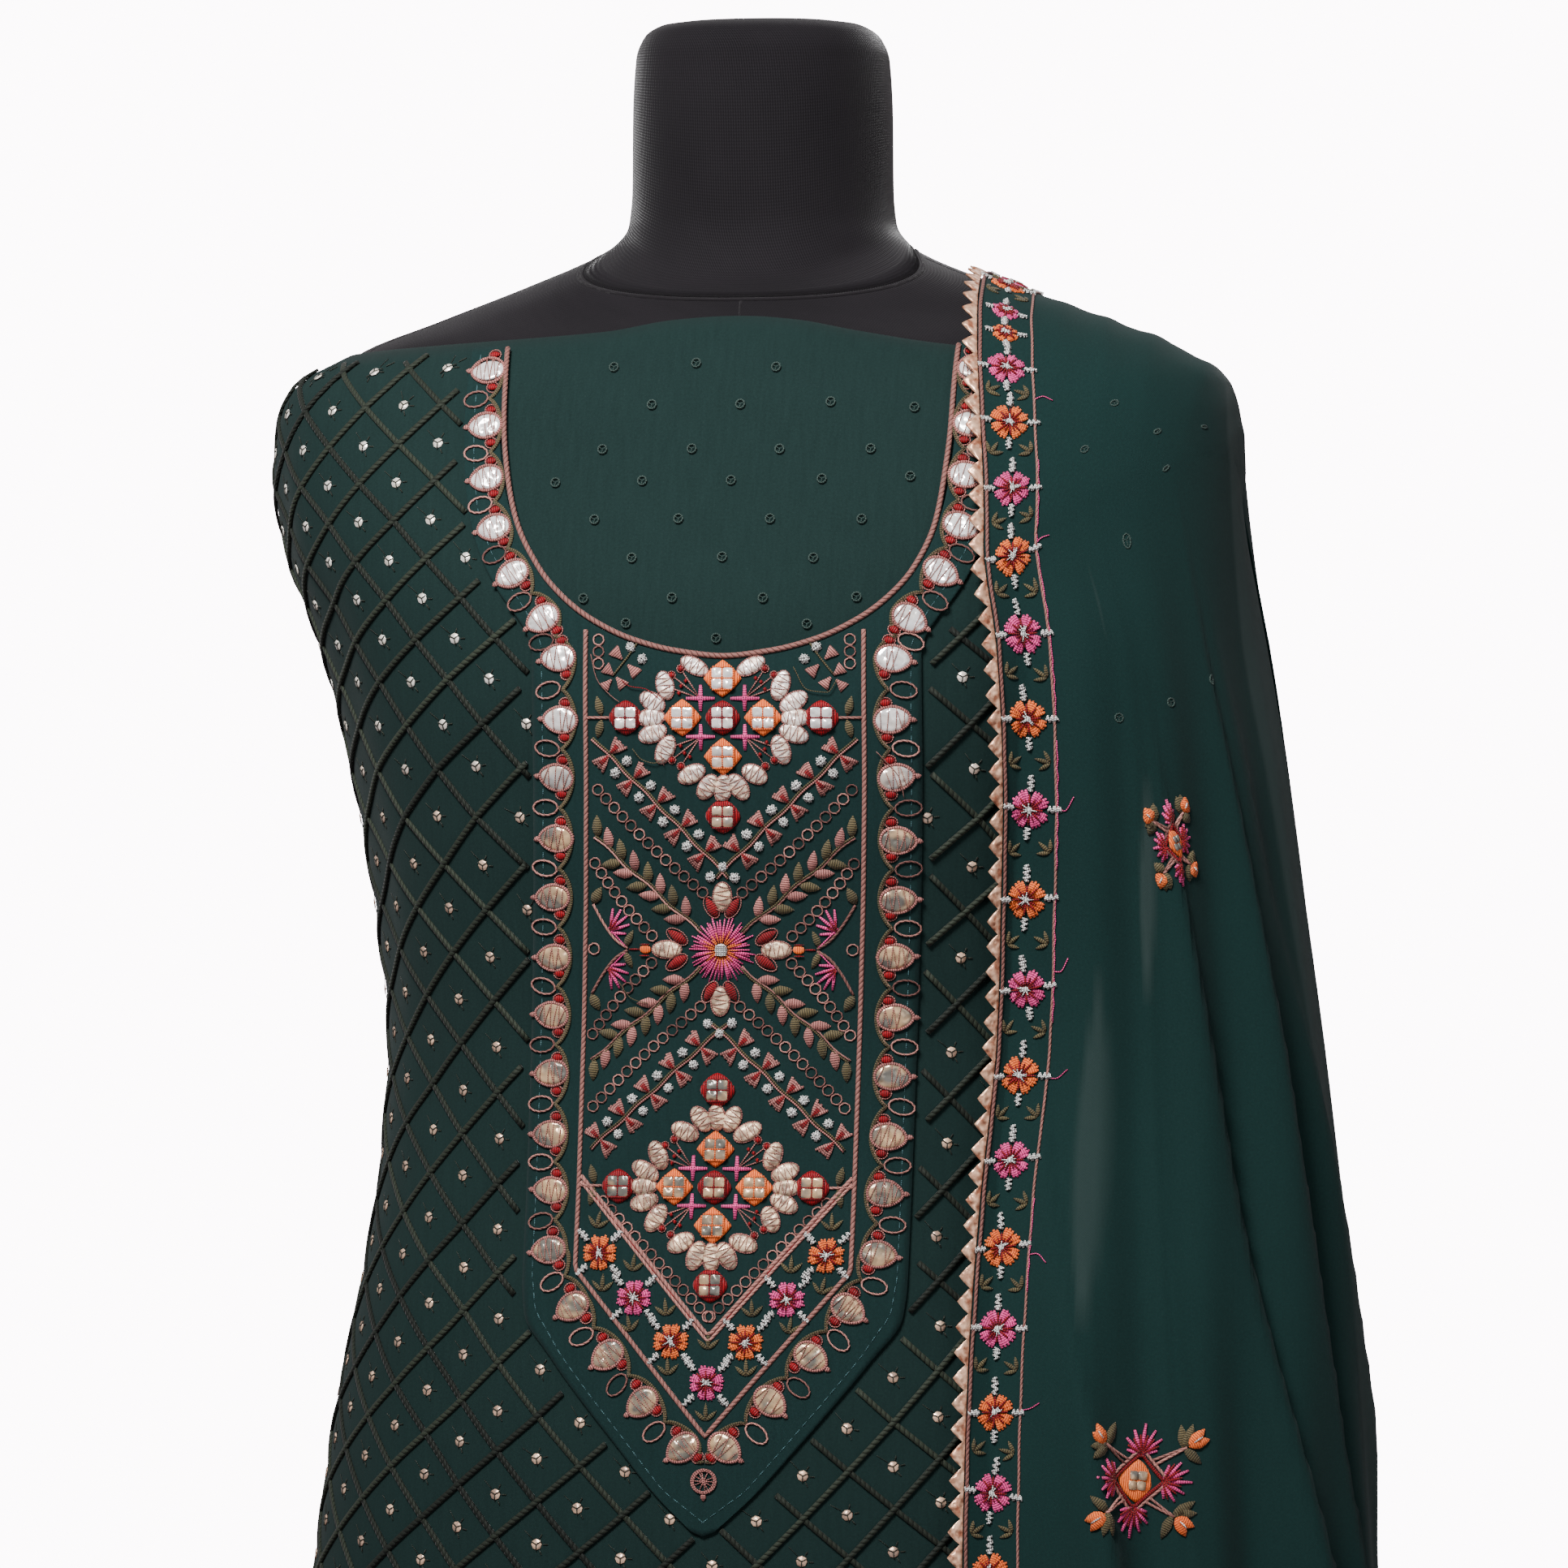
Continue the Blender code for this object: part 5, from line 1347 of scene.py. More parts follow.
def rings(bag, x, z, across, up=None, spin=0.0, wide=0.0004, high=ground + 0.0004, corners=10, surface=onPanel):
    # small closed loops of thread about the places x, z: across·cos and up·sin, turned by spin
    x, z, across, up, spin = columns(x, z, across, across if up is None else up, spin)
    turn = np.arange(corners)[None, :] * fullTurn / corners
    u, v = across * np.cos(turn), up * np.sin(turn)
    stitch(bag, surface, *turned(x, z, u, v, spin), high, wide, wide, 4, True)


def strokes(bag, x, z, length, wide, spin, high, along, breadth, rise, surface):
    # a stitch from x, z: at each share along it the width and the height are those shares of its own
    x, z, length, wide, spin = columns(x, z, length, wide, spin)
    stitch(bag, surface, *away(x, z, length * along, spin), high, wide * breadth, rise, 4)


def leaves(bag, x, z, length, wide, spin, tall=0.0007, high=ground + 0.0002, blunt=1.0, surface=onPanel):
    # filled shapes from a base at x, z to a tip: pointed at both ends and broadest just under half way
    along = np.array([0.0, 0.18, 0.44, 0.76, 1.0])
    breadth = np.array([0.16, 0.72, 1.02, 0.66, 0.08]) ** blunt
    strokes(bag, x, z, length, wide, spin, high, along, 0.61 * breadth, 1.2 * tall * np.sqrt(breadth), surface)


def bars(bag, x, z, length, wide, spin, tall=0.0005, high=ground + 0.0003, surface=onPanel):
    # straight stitches from x, z, as long as they say
    breadth = np.array([0.66, 1.1, 0.66])
    strokes(bag, x, z, length, wide, spin, high, np.array([0.0, 0.5, 1.0]), breadth / 2, tall * breadth, surface)


def wedges(bag, x, z, length, wide, spin, tall=0.0006, high=ground + 0.0003, surface=onPanel):
    # a fan of stitches: its tip at x, z and its broad end away from it
    along, breadth = np.array([0.0, 0.35, 0.75, 1.0]), np.array([0.16, 0.42, 0.85, 1.0])
    rise = tall * np.array([1.1, 1.2, 1.1, 0.6])
    strokes(bag, x, z, length, wide, spin, high, along, 0.61 * breadth, rise, surface)


def knots(bag, x, z, across, up=None, spin=0.0, tall=0.0013, high=ground, corners=10, surface=onPanel):
    # a small domed bead of wound thread
    outline = ovalOutline(across / 2, (across if up is None else up) / 2, corners)
    profile = [(0.9, 0.0), (1.0, tall * 0.35), (0.86, tall * 0.75), (0.5, tall)]
    studs(bag, surface, x, z, outline, profile, spin, high)


def mirrored(kind, bag, middle, rows, ways=fourWays, **more):
    # lays rows of x, z, length and width in millimetres, with degrees, on each side of 0 and of the middle
    rows = metres(rows, 4)
    lean = np.radians(rows[:, 4])
    x, z, length, wide, spin = np.concatenate([
        np.column_stack([rows[:, :2] * (sx, sz), rows[:, 2:4], np.arctan2(sz * np.sin(lean), sx * np.cos(lean))])
        for sx, sz in ways
    ]).T
    kind(bag, x, middle + z, length, wide, spin, **more)
    return x, middle + z, length, wide, spin


neckHalf = metres([
    (0, 1279.3), (20, 1281.5), (40, 1286.8), (56, 1294.5), (68, 1303), (79.5, 1315.5), (90, 1336.5),
    (94.5, 1358), (96.7, 1377), (97.8, 1400), (98.5, 1412.8),
])
mirrorHalf = metres([
    (106.5, 1402.3), (105.7, 1378), (104, 1355.5), (100.5, 1334), (92, 1314), (78, 1295), (71.5, 1278.3),
    (71.2, 1252.5), (72.7, 1228.5), (73.3, 1202.2), (73.5, 1177), (73.5, 1151.5), (73.5, 1126), (73.5, 1100.5),
    (73, 1075), (71.8, 1050.7), (71, 1025.2), (59.7, 1001.4), (43.8, 981.4), (28, 962.1), (9.7, 942.8),
])
neckCord = {"wide": 0.00120, "tall": 0.0009}
panelCord = {"wide": 0.00105, "tall": 0.0008}
mirrorWork = {
    "long": 0.0140, "tall": 0.0108, "dome": 0.0016, "rim": 0.0007, "wraps": 4, "lastZ": 0.9293, "corners": 20,
    "knot": (0.0046, 0.0034), "knotRing": (0.0027, 0.0023), "loop": (0.0055, 0.0033),
}
flower = {"z": 1.1551, "radius": 0.0134}


def bothSides(half):
    # one side's points in reverse and mirrored, then those of the other side
    return np.concatenate([half[::-1] * (-1, 1), half[half[:, 0] > 0]])


def makeNecklineCords():
    # the round cord of the neckline, and on the panel a framing cord and two in a V
    cordAlong(rose, bothSides(neckHalf), neckCord["wide"], neckCord["tall"], ground + 0.0005, True, 0.0025)
    side = [(-0.0592, 1.2905), (-0.0592, 1.0177), (0.0, 0.9481), (0.0592, 1.0177), (0.0592, 1.2905)]
    cordAlong(rose, side, panelCord["wide"], panelCord["tall"], ground + 0.0004)
    for drop, wide in ((0.0, 0.0009), (0.0026, 0.0007)):
        line = [(x, z - drop) for x, z in ((-0.0583, 1.0574), (0.0, 0.9902), (0.0583, 1.0574))]
        cordAlong(rose, line, wide, 0.0007, ground + 0.0003)
    ticks = [(6 + 8.5 * i, 995.8 + 9.8 * i, 6, 0.5, 49) for i in range(6)]
    mirrored(bars, red, 0.0, ticks, ((1, 1), (-1, 1)))


def makeMirrorWork():
    # the mirrors down the panel's edge, each with a rim of stitches and crossed threads
    line = np.concatenate([mirrorHalf, [(0.0, mirrorWork["lastZ"])]])
    along = unit(np.gradient(line, axis=0))[:-1]
    outward = np.stack([-along[:, 1], along[:, 0]], axis=1)
    count, dome, long, tall = len(mirrorHalf), mirrorWork["dome"], mirrorWork["long"], mirrorWork["tall"]
    outline = ovalOutline(long / 2, tall / 2, mirrorWork["corners"], 2.1, 0.25)
    profile = [(0.97, 0.0), (1.0, 0.35), (0.93, 0.7), (0.7, 0.95), (0.35, 1.02), (0.1, 1.0)]
    profile = np.array(profile) * (1, dome)
    for side in (1, -1):
        flip = (side, 1)
        spot = (mirrorHalf + dice.normal(0, 0.0004, mirrorHalf.shape)) * flip
        out = outward * flip
        spin = np.arctan2(out[:, 1], out[:, 0]) + dice.normal(0, 0.07, count)
        spot = spot - out * 0.0006
        studs(mirrors, onPanel, *spot.T, outline, profile, spin, ground)
        # the rim is thread wound round the mirror's edge, with a small tuft at its outer point
        x, z = spot.T[:, :, None]
        rim = turned(x, z, outline[:, 0] * 1.02, outline[:, 1] * 1.02, spin[:, None])
        stitch(rims, onPanel, *rim, ground + 0.0006, mirrorWork["rim"], 0.0009, 6, True)
        tip = spot + out * (long / 2 + 0.0006)
        leaves(rims, *tip.T, 0.0030, 0.0026, spin + dice.normal(0, 0.2, count), 0.0008, ground + 0.0004)
        # threads wound across the mirror's face, in a zigzag
        turns = mirrorWork["wraps"] * 2
        share = np.linspace(-0.78, 0.78, turns)
        reach = np.sqrt(np.clip(1 - share**2, 0.05, 1)) * tall / 2 * 1.02
        zig = reach * np.where(np.arange(turns) % 2, 1.0, -1.0)
        places = (share * long / 2)[None, :]
        start = places[:, :-1] + dice.normal(0, 0.0003, (count, turns - 1))
        end = places[:, 1:] + dice.normal(0, 0.0003, (count, turns - 1))
        step = np.array([0.0, 0.22, 0.5, 0.78, 1.0])
        lift = np.array([0.55, 0.98, 1.08, 0.98, 0.55]) * dome + 0.0003
        a = start[..., None] + (end - start)[..., None] * step
        b = (zig[:-1, None] + (zig[1:] - zig[:-1])[:, None] * step)[None]
        x, z = turned(x[..., None], z[..., None], a, b, spin[:, None, None])
        pick = dice.random(x.shape[:2]) < 0.88
        stitch(wraps, onPanel, x[pick], z[pick], ground + lift, 0.0002, 0.0002, 4)
        # red knots above and below each mirror, ringed with fine loops, on the line's inner side
        for way in (-1, 1):
            place = ((mirrorHalf + along * way * 0.0072 - outward * 0.0030) * flip).T
            across = np.arctan2(along[:, 1], along[:, 0] * side) + quarterTurn
            knots(red, *place, *mirrorWork["knot"], spin=across, tall=0.0014, high=ground + 0.0002)
            rings(satinRose, *place, *mirrorWork["knotRing"], across, 0.00032, corners=12)
        makeScallops(side, line)
        # open loops stand out between the mirrors
        way = (outward[:-1] + outward[1:]) / 2
        loop = (((mirrorHalf[:-1] + mirrorHalf[1:]) / 2 + way * 0.0042) * flip).T
        lean = np.arctan2(way[:, 1], way[:, 0] * side) + dice.normal(0, 0.12, count - 1)
        rings(rose, *loop, *mirrorWork["loop"], lean, 0.0005, ground + 0.0006, corners=14)
    # under them all a ring of thread, wound across with a star of stitches
    lastZ = mirrorWork["lastZ"]
    for spin, across in ((0.0, 0.0053), (0.8, 0.0046)):
        rings(rims, 0.0, lastZ, across, across * 0.95, spin, 0.00055, ground + 0.0007, corners=18)
    leaves(rims, 0.0, lastZ - 0.0050, 0.0034, 0.0028, -quarterTurn, 0.0008, ground + 0.0004)
    turn = np.arange(6) * math.pi / 6 + dice.normal(0, 0.12, 6)
    bars(satinRose, *away(0.0, lastZ, -0.0046, turn), 0.0092, 0.0006, turn, 0.0004, ground + 0.0006)


def makeScallops(side, line):
    # three threads swing round each mirror on its inner side: in by near + 6.2 mm·|cos(π·count)|^0.6
    length = lengths(line)
    at = np.arange(0, length[-1] - 0.006, 0.0011)
    count = np.interp(at, length, np.arange(len(line)))
    centre = np.stack([np.interp(at, length, column) for column in line.T], axis=1)
    tangent = unit(np.gradient(np.stack([smooth(length, column, at) for column in line.T], axis=1), axis=0))
    out = np.stack([-tangent[:, 1], tangent[:, 0]], axis=1)
    swing = np.abs(np.cos(count * math.pi)) ** 0.6
    for bag, near, wide in ((olive, 0.0018, 0.00075), (rose, 0.0016, 0.00070), (olive, 0.0009, 0.00045)):
        path = ((centre - out * (near + 0.0062 * swing[:, None])) * (side, 1)).T[:, None]
        stitch(bag, onPanel, *path, ground + 0.0005, wide, wide, 4)


def makeRunningStitch():
    # small stitches just inside the patch's edge, down one half and its mirror image
    half = metres([
        (110.5, 1410), (110.7, 1378), (109.8, 1360), (107.8, 1343), (102.8, 1326.2), (94.2, 1310.5),
        (85.2, 1297.5), (79.5, 1286), (78.5, 1270), (78.5, 1016), (76.5, 1000), (64.5, 981.5), (49, 962),
        (33, 943), (18, 925.5), (2, 913.5),
    ])
    for side in (1, -1):
        line = route(half * (side, 1), 0.0045)
        way = np.gradient(line, axis=0)
        bars(teal, *line.T, 0.0031, 0.0005, np.arctan2(way[:, 1], way[:, 0]), 0.00022, ground + 0.0001)


def makeFlower():
    # the large flower in the panel's middle
    middle = flower["z"]
    # two rounds of pink rays and one of orange: from near to far, how many, how wide, how high
    rays = (
        (pink, 0.0036, flower["radius"] + 0.0004, 46, 0.0010, 0.0003), (pink, 0.0046, 0.0122, 34, 0.0009, 0.0007),
        (orange, 0.0024, 0.0082, 26, 0.0007, 0.0010),
    )
    for bag, near, far, count, wide, high in rays:
        turn = (np.arange(count) + dice.uniform(-0.3, 0.3, count)) * fullTurn / count
        reach = far - near + dice.uniform(-0.0026, 0.0010, count)
        bars(bag, *away(0.0, middle, near, turn), reach, wide, turn, 0.0005, ground + high)
    knots(silver, 0.0, middle, 0.0056, tall=0.0012, high=ground + 0.0008, corners=12)
    rows = middle + np.linspace(-0.0020, 0.0020, 6)
    bars(silver, -0.0024, rows, 0.0048, 0.0006, 0.0, 0.0004, ground + 0.0021)
    # a foil oval with a pair of red petals on each of its four sides
    for x, z, wide in metres([(23.5, 0, 7.3), (-23.5, 0, 7.3), (0, 22.6, 7.8), (0, -22.2, 7.8)]):
        foilOval(x, middle + z, 0.0125, wide, 0.0 if x else quarterTurn, 6)
    for row in ((15, 2.8, 9.8, 5, 33), (2.2, 14, 9.5, 5, 60)):
        rimLeaves(*mirrored(leaves, red, middle, [row], tall=0.0008))
    # beyond them, to each side: an orange bead, a pair of small leaves and a branch of two buds
    for side in (1, -1):
        back = math.pi * (side < 0)
        knots(orange, side * 0.0328, middle, 0.0052, 0.0040, tall=0.0010)
        rows = middle + np.array([0.0022, -0.0026])
        bars(red, side * 0.0310, rows, 0.0040, 0.0007, back, 0.0004, ground + 0.0009)
        bars(red, side * 0.0355, middle, 0.0045, 0.0008, back)
        rings(rose, side * 0.0553, middle, 0.0024)
        for up in (1, -1):
            for bag, thick, high, line in (
                (rose, 0.0006, 0.0004, ((40.5, 0.4), (45.5, 3.6), (51, 10.5), (56, 19.2))),
                (pink, 0.0003, 0.0006, ((41.2, 1), (46.2, 6.2), (49, 9.2))),
            ):
                line = metres(line) * (side, up) + (0, middle)
                cordAlong(bag, line, thick, thick, ground + high, True, 0.002)
    fans = ((48.2, 8.8, 8.6, 96), (48, 9, 9, 118), (47.8, 8.6, 8.8, 140), (47.6, 8, 8, 162), (48, 7, 6.6, 184))
    mirrored(bars, pink, middle, [(x, z, long, 1.6, turn) for x, z, long, turn in fans], tall=0.0006)
    cores = [(48.6, 8.4, 4.4, 0.8, 104), (48.4, 8.4, 4.6, 0.8, 130), (48.4, 8, 4.2, 0.8, 158)]
    mirrored(bars, red, middle, cores, tall=0.0004, high=ground + 0.0008)
    mirrored(leaves, olive, middle, [(41.8, 1, 7.8, 3.6, 116), (56.2, 19.6, 7.8, 5.2, 118)], tall=0.0008)


def rimLeaves(x, z, length, wide, spin):
    # a fine rose thread laid round each petal
    middle = away(x, z, length / 2, spin)
    rings(satinRose, *middle, length / 2 + 0.0004, wide / 2 + 0.0003, spin, 0.00028, corners=14)


def foilOval(x, z, long, wide, spin, strands, dome=0.0014):
    # foil tied down with fine thread: a dome, its rim, and a zigzag over it
    profile = [(0.95, 0.0), (1.0, dome * 0.4), (0.85, dome * 0.85), (0.5, dome), (0.15, dome * 1.02)]
    studs(gota, onPanel, [x], [z], ovalOutline(long / 2, wide / 2, 16, 2.0, 0.1), profile, spin, ground)
    rings(satinRose, x, z, long / 2 + 0.0002, wide / 2 + 0.0002, spin, 0.00032, corners=16)
    share = np.linspace(-0.75, 0.75, strands)[:, None]
    step = np.array([-1.0, -0.5, 0.0, 0.5, 1.0])
    a = share * long / 2 + step * 0.0007 * np.where(np.arange(strands) % 2, 1, -1)[:, None]
    b = np.sqrt(1 - share**2) * wide / 2 * step
    lift = dome * np.array([0.5, 0.95, 1.1, 0.95, 0.5]) + 0.0002
    stitch(wraps, onPanel, *turned(x, z, a, b, spin), ground + lift, 0.0002, 0.0002, 4)


def makeChains():
    # rows of small loops: bowed ones round the flower, straight ones in a V and up to the neckline
    middle = flower["z"]
    lines = [((0.054, 0.068), (0.0085, 0.0245), 13), ((0.0552, 0.0368), (0.0300, 0.0058), 9)]
    for (x0, z0), (x1, z1), count in lines:
        t = np.linspace(0, 1, count)
        bow = np.sin(t * math.pi) * 0.0008
        x, z = x0 + (x1 - x0) * t + bow, z0 + (z1 - z0) * t - bow
        for sx, sz in fourWays:
            rings(rose, sx * x, middle + sz * z, 0.0023)
    t = np.linspace(0, 1, 14)
    for side in (1, -1):
        rings(rose, side * (0.048 - 0.0475 * t), 1.0465 - 0.0480 * t, 0.0023)
        rings(rose, side * 0.0535, np.array([1.2862, 1.2812, 1.2762]), 0.0023)


def makeSprays():
    # four stems from the flower's corners, each with paired leaves, in millimetres from its middle
    middle = flower["z"]
    way = np.array([50.0, 44.0]) / math.hypot(50, 44)
    angle = math.degrees(math.atan2(way[1], way[0]))
    d = np.linspace(0, 62, 22)
    for flip in fourWays:
        for side, bag in ((0.5, olive), (-0.5, rose)):
            wave = side + 0.6 * np.sin(d * 0.260)
            line = metres(np.column_stack([8.7 + way[0] * d - way[1] * wave, 7.3 + way[1] * d + way[0] * wave]))
            cordAlong(bag, line * flip + (0, middle), 0.0004, 0.0004, ground + 0.0005, step=0.002)
    rows = []
    for i in range(8):
        x, z = np.array([8.7, 7.3]) + way * (8.5 + 7.4 * i)
        for lean in (44, -44):
            base = away(x, z, 0.9, math.radians(angle + lean))
            rows.append((*base, 9.0, 5.0, angle + lean + dice.normal(0, 4), i % 2))
    rows = np.array(rows)
    tip = rows[:, 0] + rows[:, 2] * np.cos(np.radians(rows[:, 4]))
    rows = rows[(tip < 58.0) & (rows[:, 1] < 61.5)]
    for bag, kind in ((satinRose, 0), (olive, 1)):
        mirrored(leaves, bag, middle, rows[rows[:, 5] == kind][:, :5], tall=0.0009)


def makeBands():
    # two beaded bands: stems in a V with pairs of silver knots and pairs of fans in turn
    fanLeans = ((-0.44, 1.0), (-0.26, 0.92), (-0.08, 0.86), (0.08, 0.86), (0.26, 0.92), (0.44, 1.0))
    for apex, end, up in ((1.1890, (0.0560, 1.2450), 1), (1.1205, (0.0545, 1.0690), -1)):
        way = np.array([end[0], end[1] - apex])
        length = np.linalg.norm(way)
        way = way / length

        def onBand(d, wave):
            # a place by its distance up the band and its distance from the stem
            return way[0] * d - way[1] * wave, apex + way[1] * d + way[0] * wave

        for side in (1, -1):
            for off, bag in ((0.0005, olive), (-0.0005, satinRose)):
                d = np.linspace(-0.004, length, 26)
                line = np.column_stack(onBand(d, off + 0.0004 * np.sin(d * 300))) * (side, 1)
                cordAlong(bag, line, 0.0004, 0.0004, ground + 0.0006, step=0.002)
            for edge in (1, -1):
                x, z = onBand(np.arange(0.0181, length - 0.008, 0.0146), edge * 0.0036)
                beads(side * x, z, 0.0043)
                x, z = onBand(np.arange(0.0108, length + 0.002, 0.0146), edge * 0.0008)
                turn = math.atan2(edge * way[0], -edge * way[1] * side)
                for lean, share in fanLeans:
                    reach = 0.0076 * share * dice.uniform(0.9, 1.05, len(x))
                    bars(satinRose, side * x, z, reach, 0.0021, turn + lean, 0.0008)
                for lean in (-0.16, 0.02, 0.18):
                    bars(red, side * x, z, 0.0046, 0.0011, turn + lean, 0.0005, ground + 0.0008)
        for x, z in ((0.0, 0.0005), (-0.0052, -0.0037), (0.0052, -0.0040)):
            beads(np.array([x]), np.array([apex + up * (0.0010 + z)]), 0.0043)


def beads(x, z, size):
    # a silver knot: a dome wound over its middle with pairs of fine threads, each pair turned a third of a turn
    knots(silver, x, z, size * 0.8, tall=0.0010, corners=8)
    turn = dice.uniform(0, math.pi, len(x))[:, None]
    step = np.array([-1.0, -0.6, 0.0, 0.6, 1.0])[None, :]
    rise = ground + np.array([0.0002, 0.0009, 0.0012, 0.0009, 0.0002])
    for layer in range(3):
        for off in (-0.16, 0.16):
            u = step * size / 2 * dice.uniform(0.86, 1.06)
            v = off * size * (1 - 0.5 * np.abs(step))
            line = turned(x[:, None], z[:, None], u, v, turn + 1.05 * layer)
            stitch(silver, onPanel, *line, rise + 0.00022 * layer, 0.00042, 0.0004, 4)


def diamond(bag, x, z, size, power=1.2):
    # a square of mirror in four panes, framed by a diamond of satin stitch
    profile = [(0.96, 0.0), (1.0, 0.0006), (0.86, 0.0013), (0.6, 0.0016)]
    studs(bag, onPanel, [x], [z], ovalOutline(size / 2 * 1.03, size / 2, 20, power), profile, 0.0, ground)
    pane, profile = ovalOutline(0.0024, 0.0023, 12, 3.6), [(0.98, 0.0), (1.0, 0.0006), (0.94, 0.0008)]
    for sx, sz in fourWays:
        studs(mirrors, onPanel, [x + sx * 0.00235], [z + sz * 0.00225], pane, profile, 0.0, ground + 0.0013)
    place, reach, edge, half = np.array([x, z]), 0.0049, 0.0047, 0.00423
    for way in np.array([(1, 0), (0, 1)]):
        cordAlong(bag, place + np.outer((-reach, 0, reach), way), 0.0003, 0.0002, ground + 0.0021)
    for way in np.array(fourSides):
        line = place + way * edge + np.outer((half, -half), way[::-1])
        cordAlong(bag, line, 0.0004, 0.0004, ground + 0.0019)


def makeClusters():
    # diamonds round a middle one, and between them rows of foil ovals, plus signs, sprigs and leaves
    foilRows = metres([(13.5, 0, 0), (12.8, 6.6, 28), (12.8, -6.6, -28), (7.4, 13.4, 66), (7.4, -13.4, -66)], 2)
    twoWays = ((1, 1), (-1, 1))
    for centre, sides in ((1.2535, ((1, 0), (-1, 0), (0, -1))), (1.0532, fourSides)):
        diamond(red, 0.0, centre, 0.0146, 1.5)
        for dx, dz in fourSides:
            diamond(orange, dx * 0.0172, centre + dz * 0.0163, 0.0158)
            if (dx, dz) not in sides:
                continue
            diamond(red, dx * 0.0415, centre + dz * 0.0415, 0.0148, 1.5)
            for u, v, lean in foilRows:
                x, z = dx * (0.0172 + u) - dz * v, dz * (0.0163 + u) + dx * v
                spin = math.atan2(dz, dx) + math.radians(lean)
                long = 0.0120 + dice.normal(0, 0.0005)
                foilOval(x, centre + z, long, 0.0072, spin + dice.normal(0, 0.10), 7, 0.0016)
        mirrored(bars, pink, centre, [(3.4, 8, 12.2, 2.4, 0), (9.4, 2.8, 10.8, 2.4, 90)], tall=0.0007)
        sprigs = [(10, 8.5, 15, 0.7, 38), (10.4, 9.2, 13.5, 0.7, 56), (11.6, 8.6, 12, 0.7, 20)]
        x, z, length, _, spin = mirrored(bars, satinRose, centre, sprigs, tall=0.0004)
        ends = away(x, z, length, spin)
        knots(red, *ends, 0.0026, tall=0.0014, high=ground + 0.0002, corners=8)
        rings(satinRose, *ends, 0.0017, wide=0.00025, corners=8)
        middles = away(x, z, length * 0.6, spin + 0.12)
        knots(red, *middles, 0.0018, tall=0.0010, high=ground + 0.0003, corners=6)
        mirrored(leaves, olive, centre, [(52.2, 1, 8.2, 4.2, 76), (52.2, -1, 7.8, 4.2, -76)], twoWays, tall=0.0008)
        for side in (1, -1):
            line = [(side * 0.0488, centre), (side * 0.0585, centre)]
            cordAlong(rose, line, 0.0006, 0.0006, ground + 0.0005)
    for side in (1, -1):
        foilOval(side * 0.0120, 1.2750, 0.0126, 0.0064, side * math.radians(28), 7)
    # broken ends of another motif under the neckline's corners
    for side in (1, -1):
        line = metres([(36, 1285.8), (40, 1280), (47, 1271.2)]) * (side, 1)
        cordAlong(olive, line, 0.0004, 0.0004, ground + 0.0006, True)
        beads(side * np.array([0.0395, 0.0345]), np.array([1.2830, 1.2780]), 0.0042)
        fans = [(43.2, 2.5, 5.6, 6.4, 45), (40.5, 0, 5.6, 6.4, 225)]
        mirrored(wedges, satinRose, 1.2755, fans, ((side, 1),), tall=0.0008)
        ends = [(46.8, -4.2, 5, 6, 40), (45.5, -5.2, 5, 6, 230), (47.8, -6.2, 5, 5.6, 315)]
        mirrored(wedges, satinRose, 1.2755, ends, ((side, 1),), tall=0.0008)


def floret(surface, x, z, size, bag, spin=0.0, base=ground):
    # eight rounded petals in pairs, red stitches between them and a small silver star over the heart
    eighths = np.arange(8) * fullTurn / 8
    turn = spin + eighths + fullTurn / 16 + np.where(np.arange(8) % 2, -0.07, 0.07)
    near = size * 0.13
    for add in (-0.19, 0.0, 0.19):
        reach = size / 2 - near + dice.uniform(-0.0005, 0.0003, 8) - 0.0004 * (add != 0)
        start = away(x, z, near, turn + add)
        leaves(bag, *start, reach, size * 0.115, turn + add, 0.0008, base + 0.0003, 0.35, surface)
    inner = spin + eighths + dice.normal(0, 0.05, 8)
    rounds = (0.0, 0.24, 0.34, 0.0010, 0.0013), (fullTurn / 16, 0.14, 0.24, 0.0007, 0.0014)
    for lean, low, most, wide, high in rounds:
        reach = size * dice.uniform(low, most, 8)
        start = away(x, z, near * 0.6, inner + lean)
        bars(red, *start, reach, wide, inner + lean, 0.0006, base + high, surface)
    star = dice.uniform(0, fullTurn, 9)
    reach = size * dice.uniform(0.10, 0.20, 9)
    bars(silver, *away(x, z, 0.0003, star), reach, 0.0006, star, 0.0004, base + 0.0020, surface)
    knots(silver, [x], [z], size * 0.15, tall=0.0010, high=base + 0.0013, corners=8, surface=surface)


def silverBar(surface, x, z, length, spin, base=ground):
    # a short stick of knots wound with silver thread, the outermost the smallest
    share = np.array([0.04, 0.18, 0.36, 0.50, 0.68, 0.84])
    wide = np.array([0.0016, 0.0028, 0.0024, 0.0030, 0.0024, 0.0016])
    x, z = away(x, z, length * share[:, None], spin)
    turn = (spin + quarterTurn + np.where(np.arange(6) % 2, 0.3, -0.3) + dice.normal(0, 0.15, 6))[:, None]
    across = wide[:, None] / 2 * np.array([-1.0, 0.0, 1.0])
    high, thick = base + np.array([0.0004, 0.0013, 0.0004]), length * np.array([0.075, 0.095, 0.075])
    stitch(silver, surface, *away(x, z, across, turn), high, thick, 0.0006, 4)


def triple(surface, x, z, spin, size=0.0066, base=ground):
    # three leaves that open from one place, the middle one the longest
    a = spin + np.radians([-46, 0, 46])
    reach = size * np.array([0.92, 1.1, 0.92])
    leaves(olive, *away(x, z, 0.0004, a), reach, 0.0021, a, 0.0006, base + 0.0003, surface=surface)


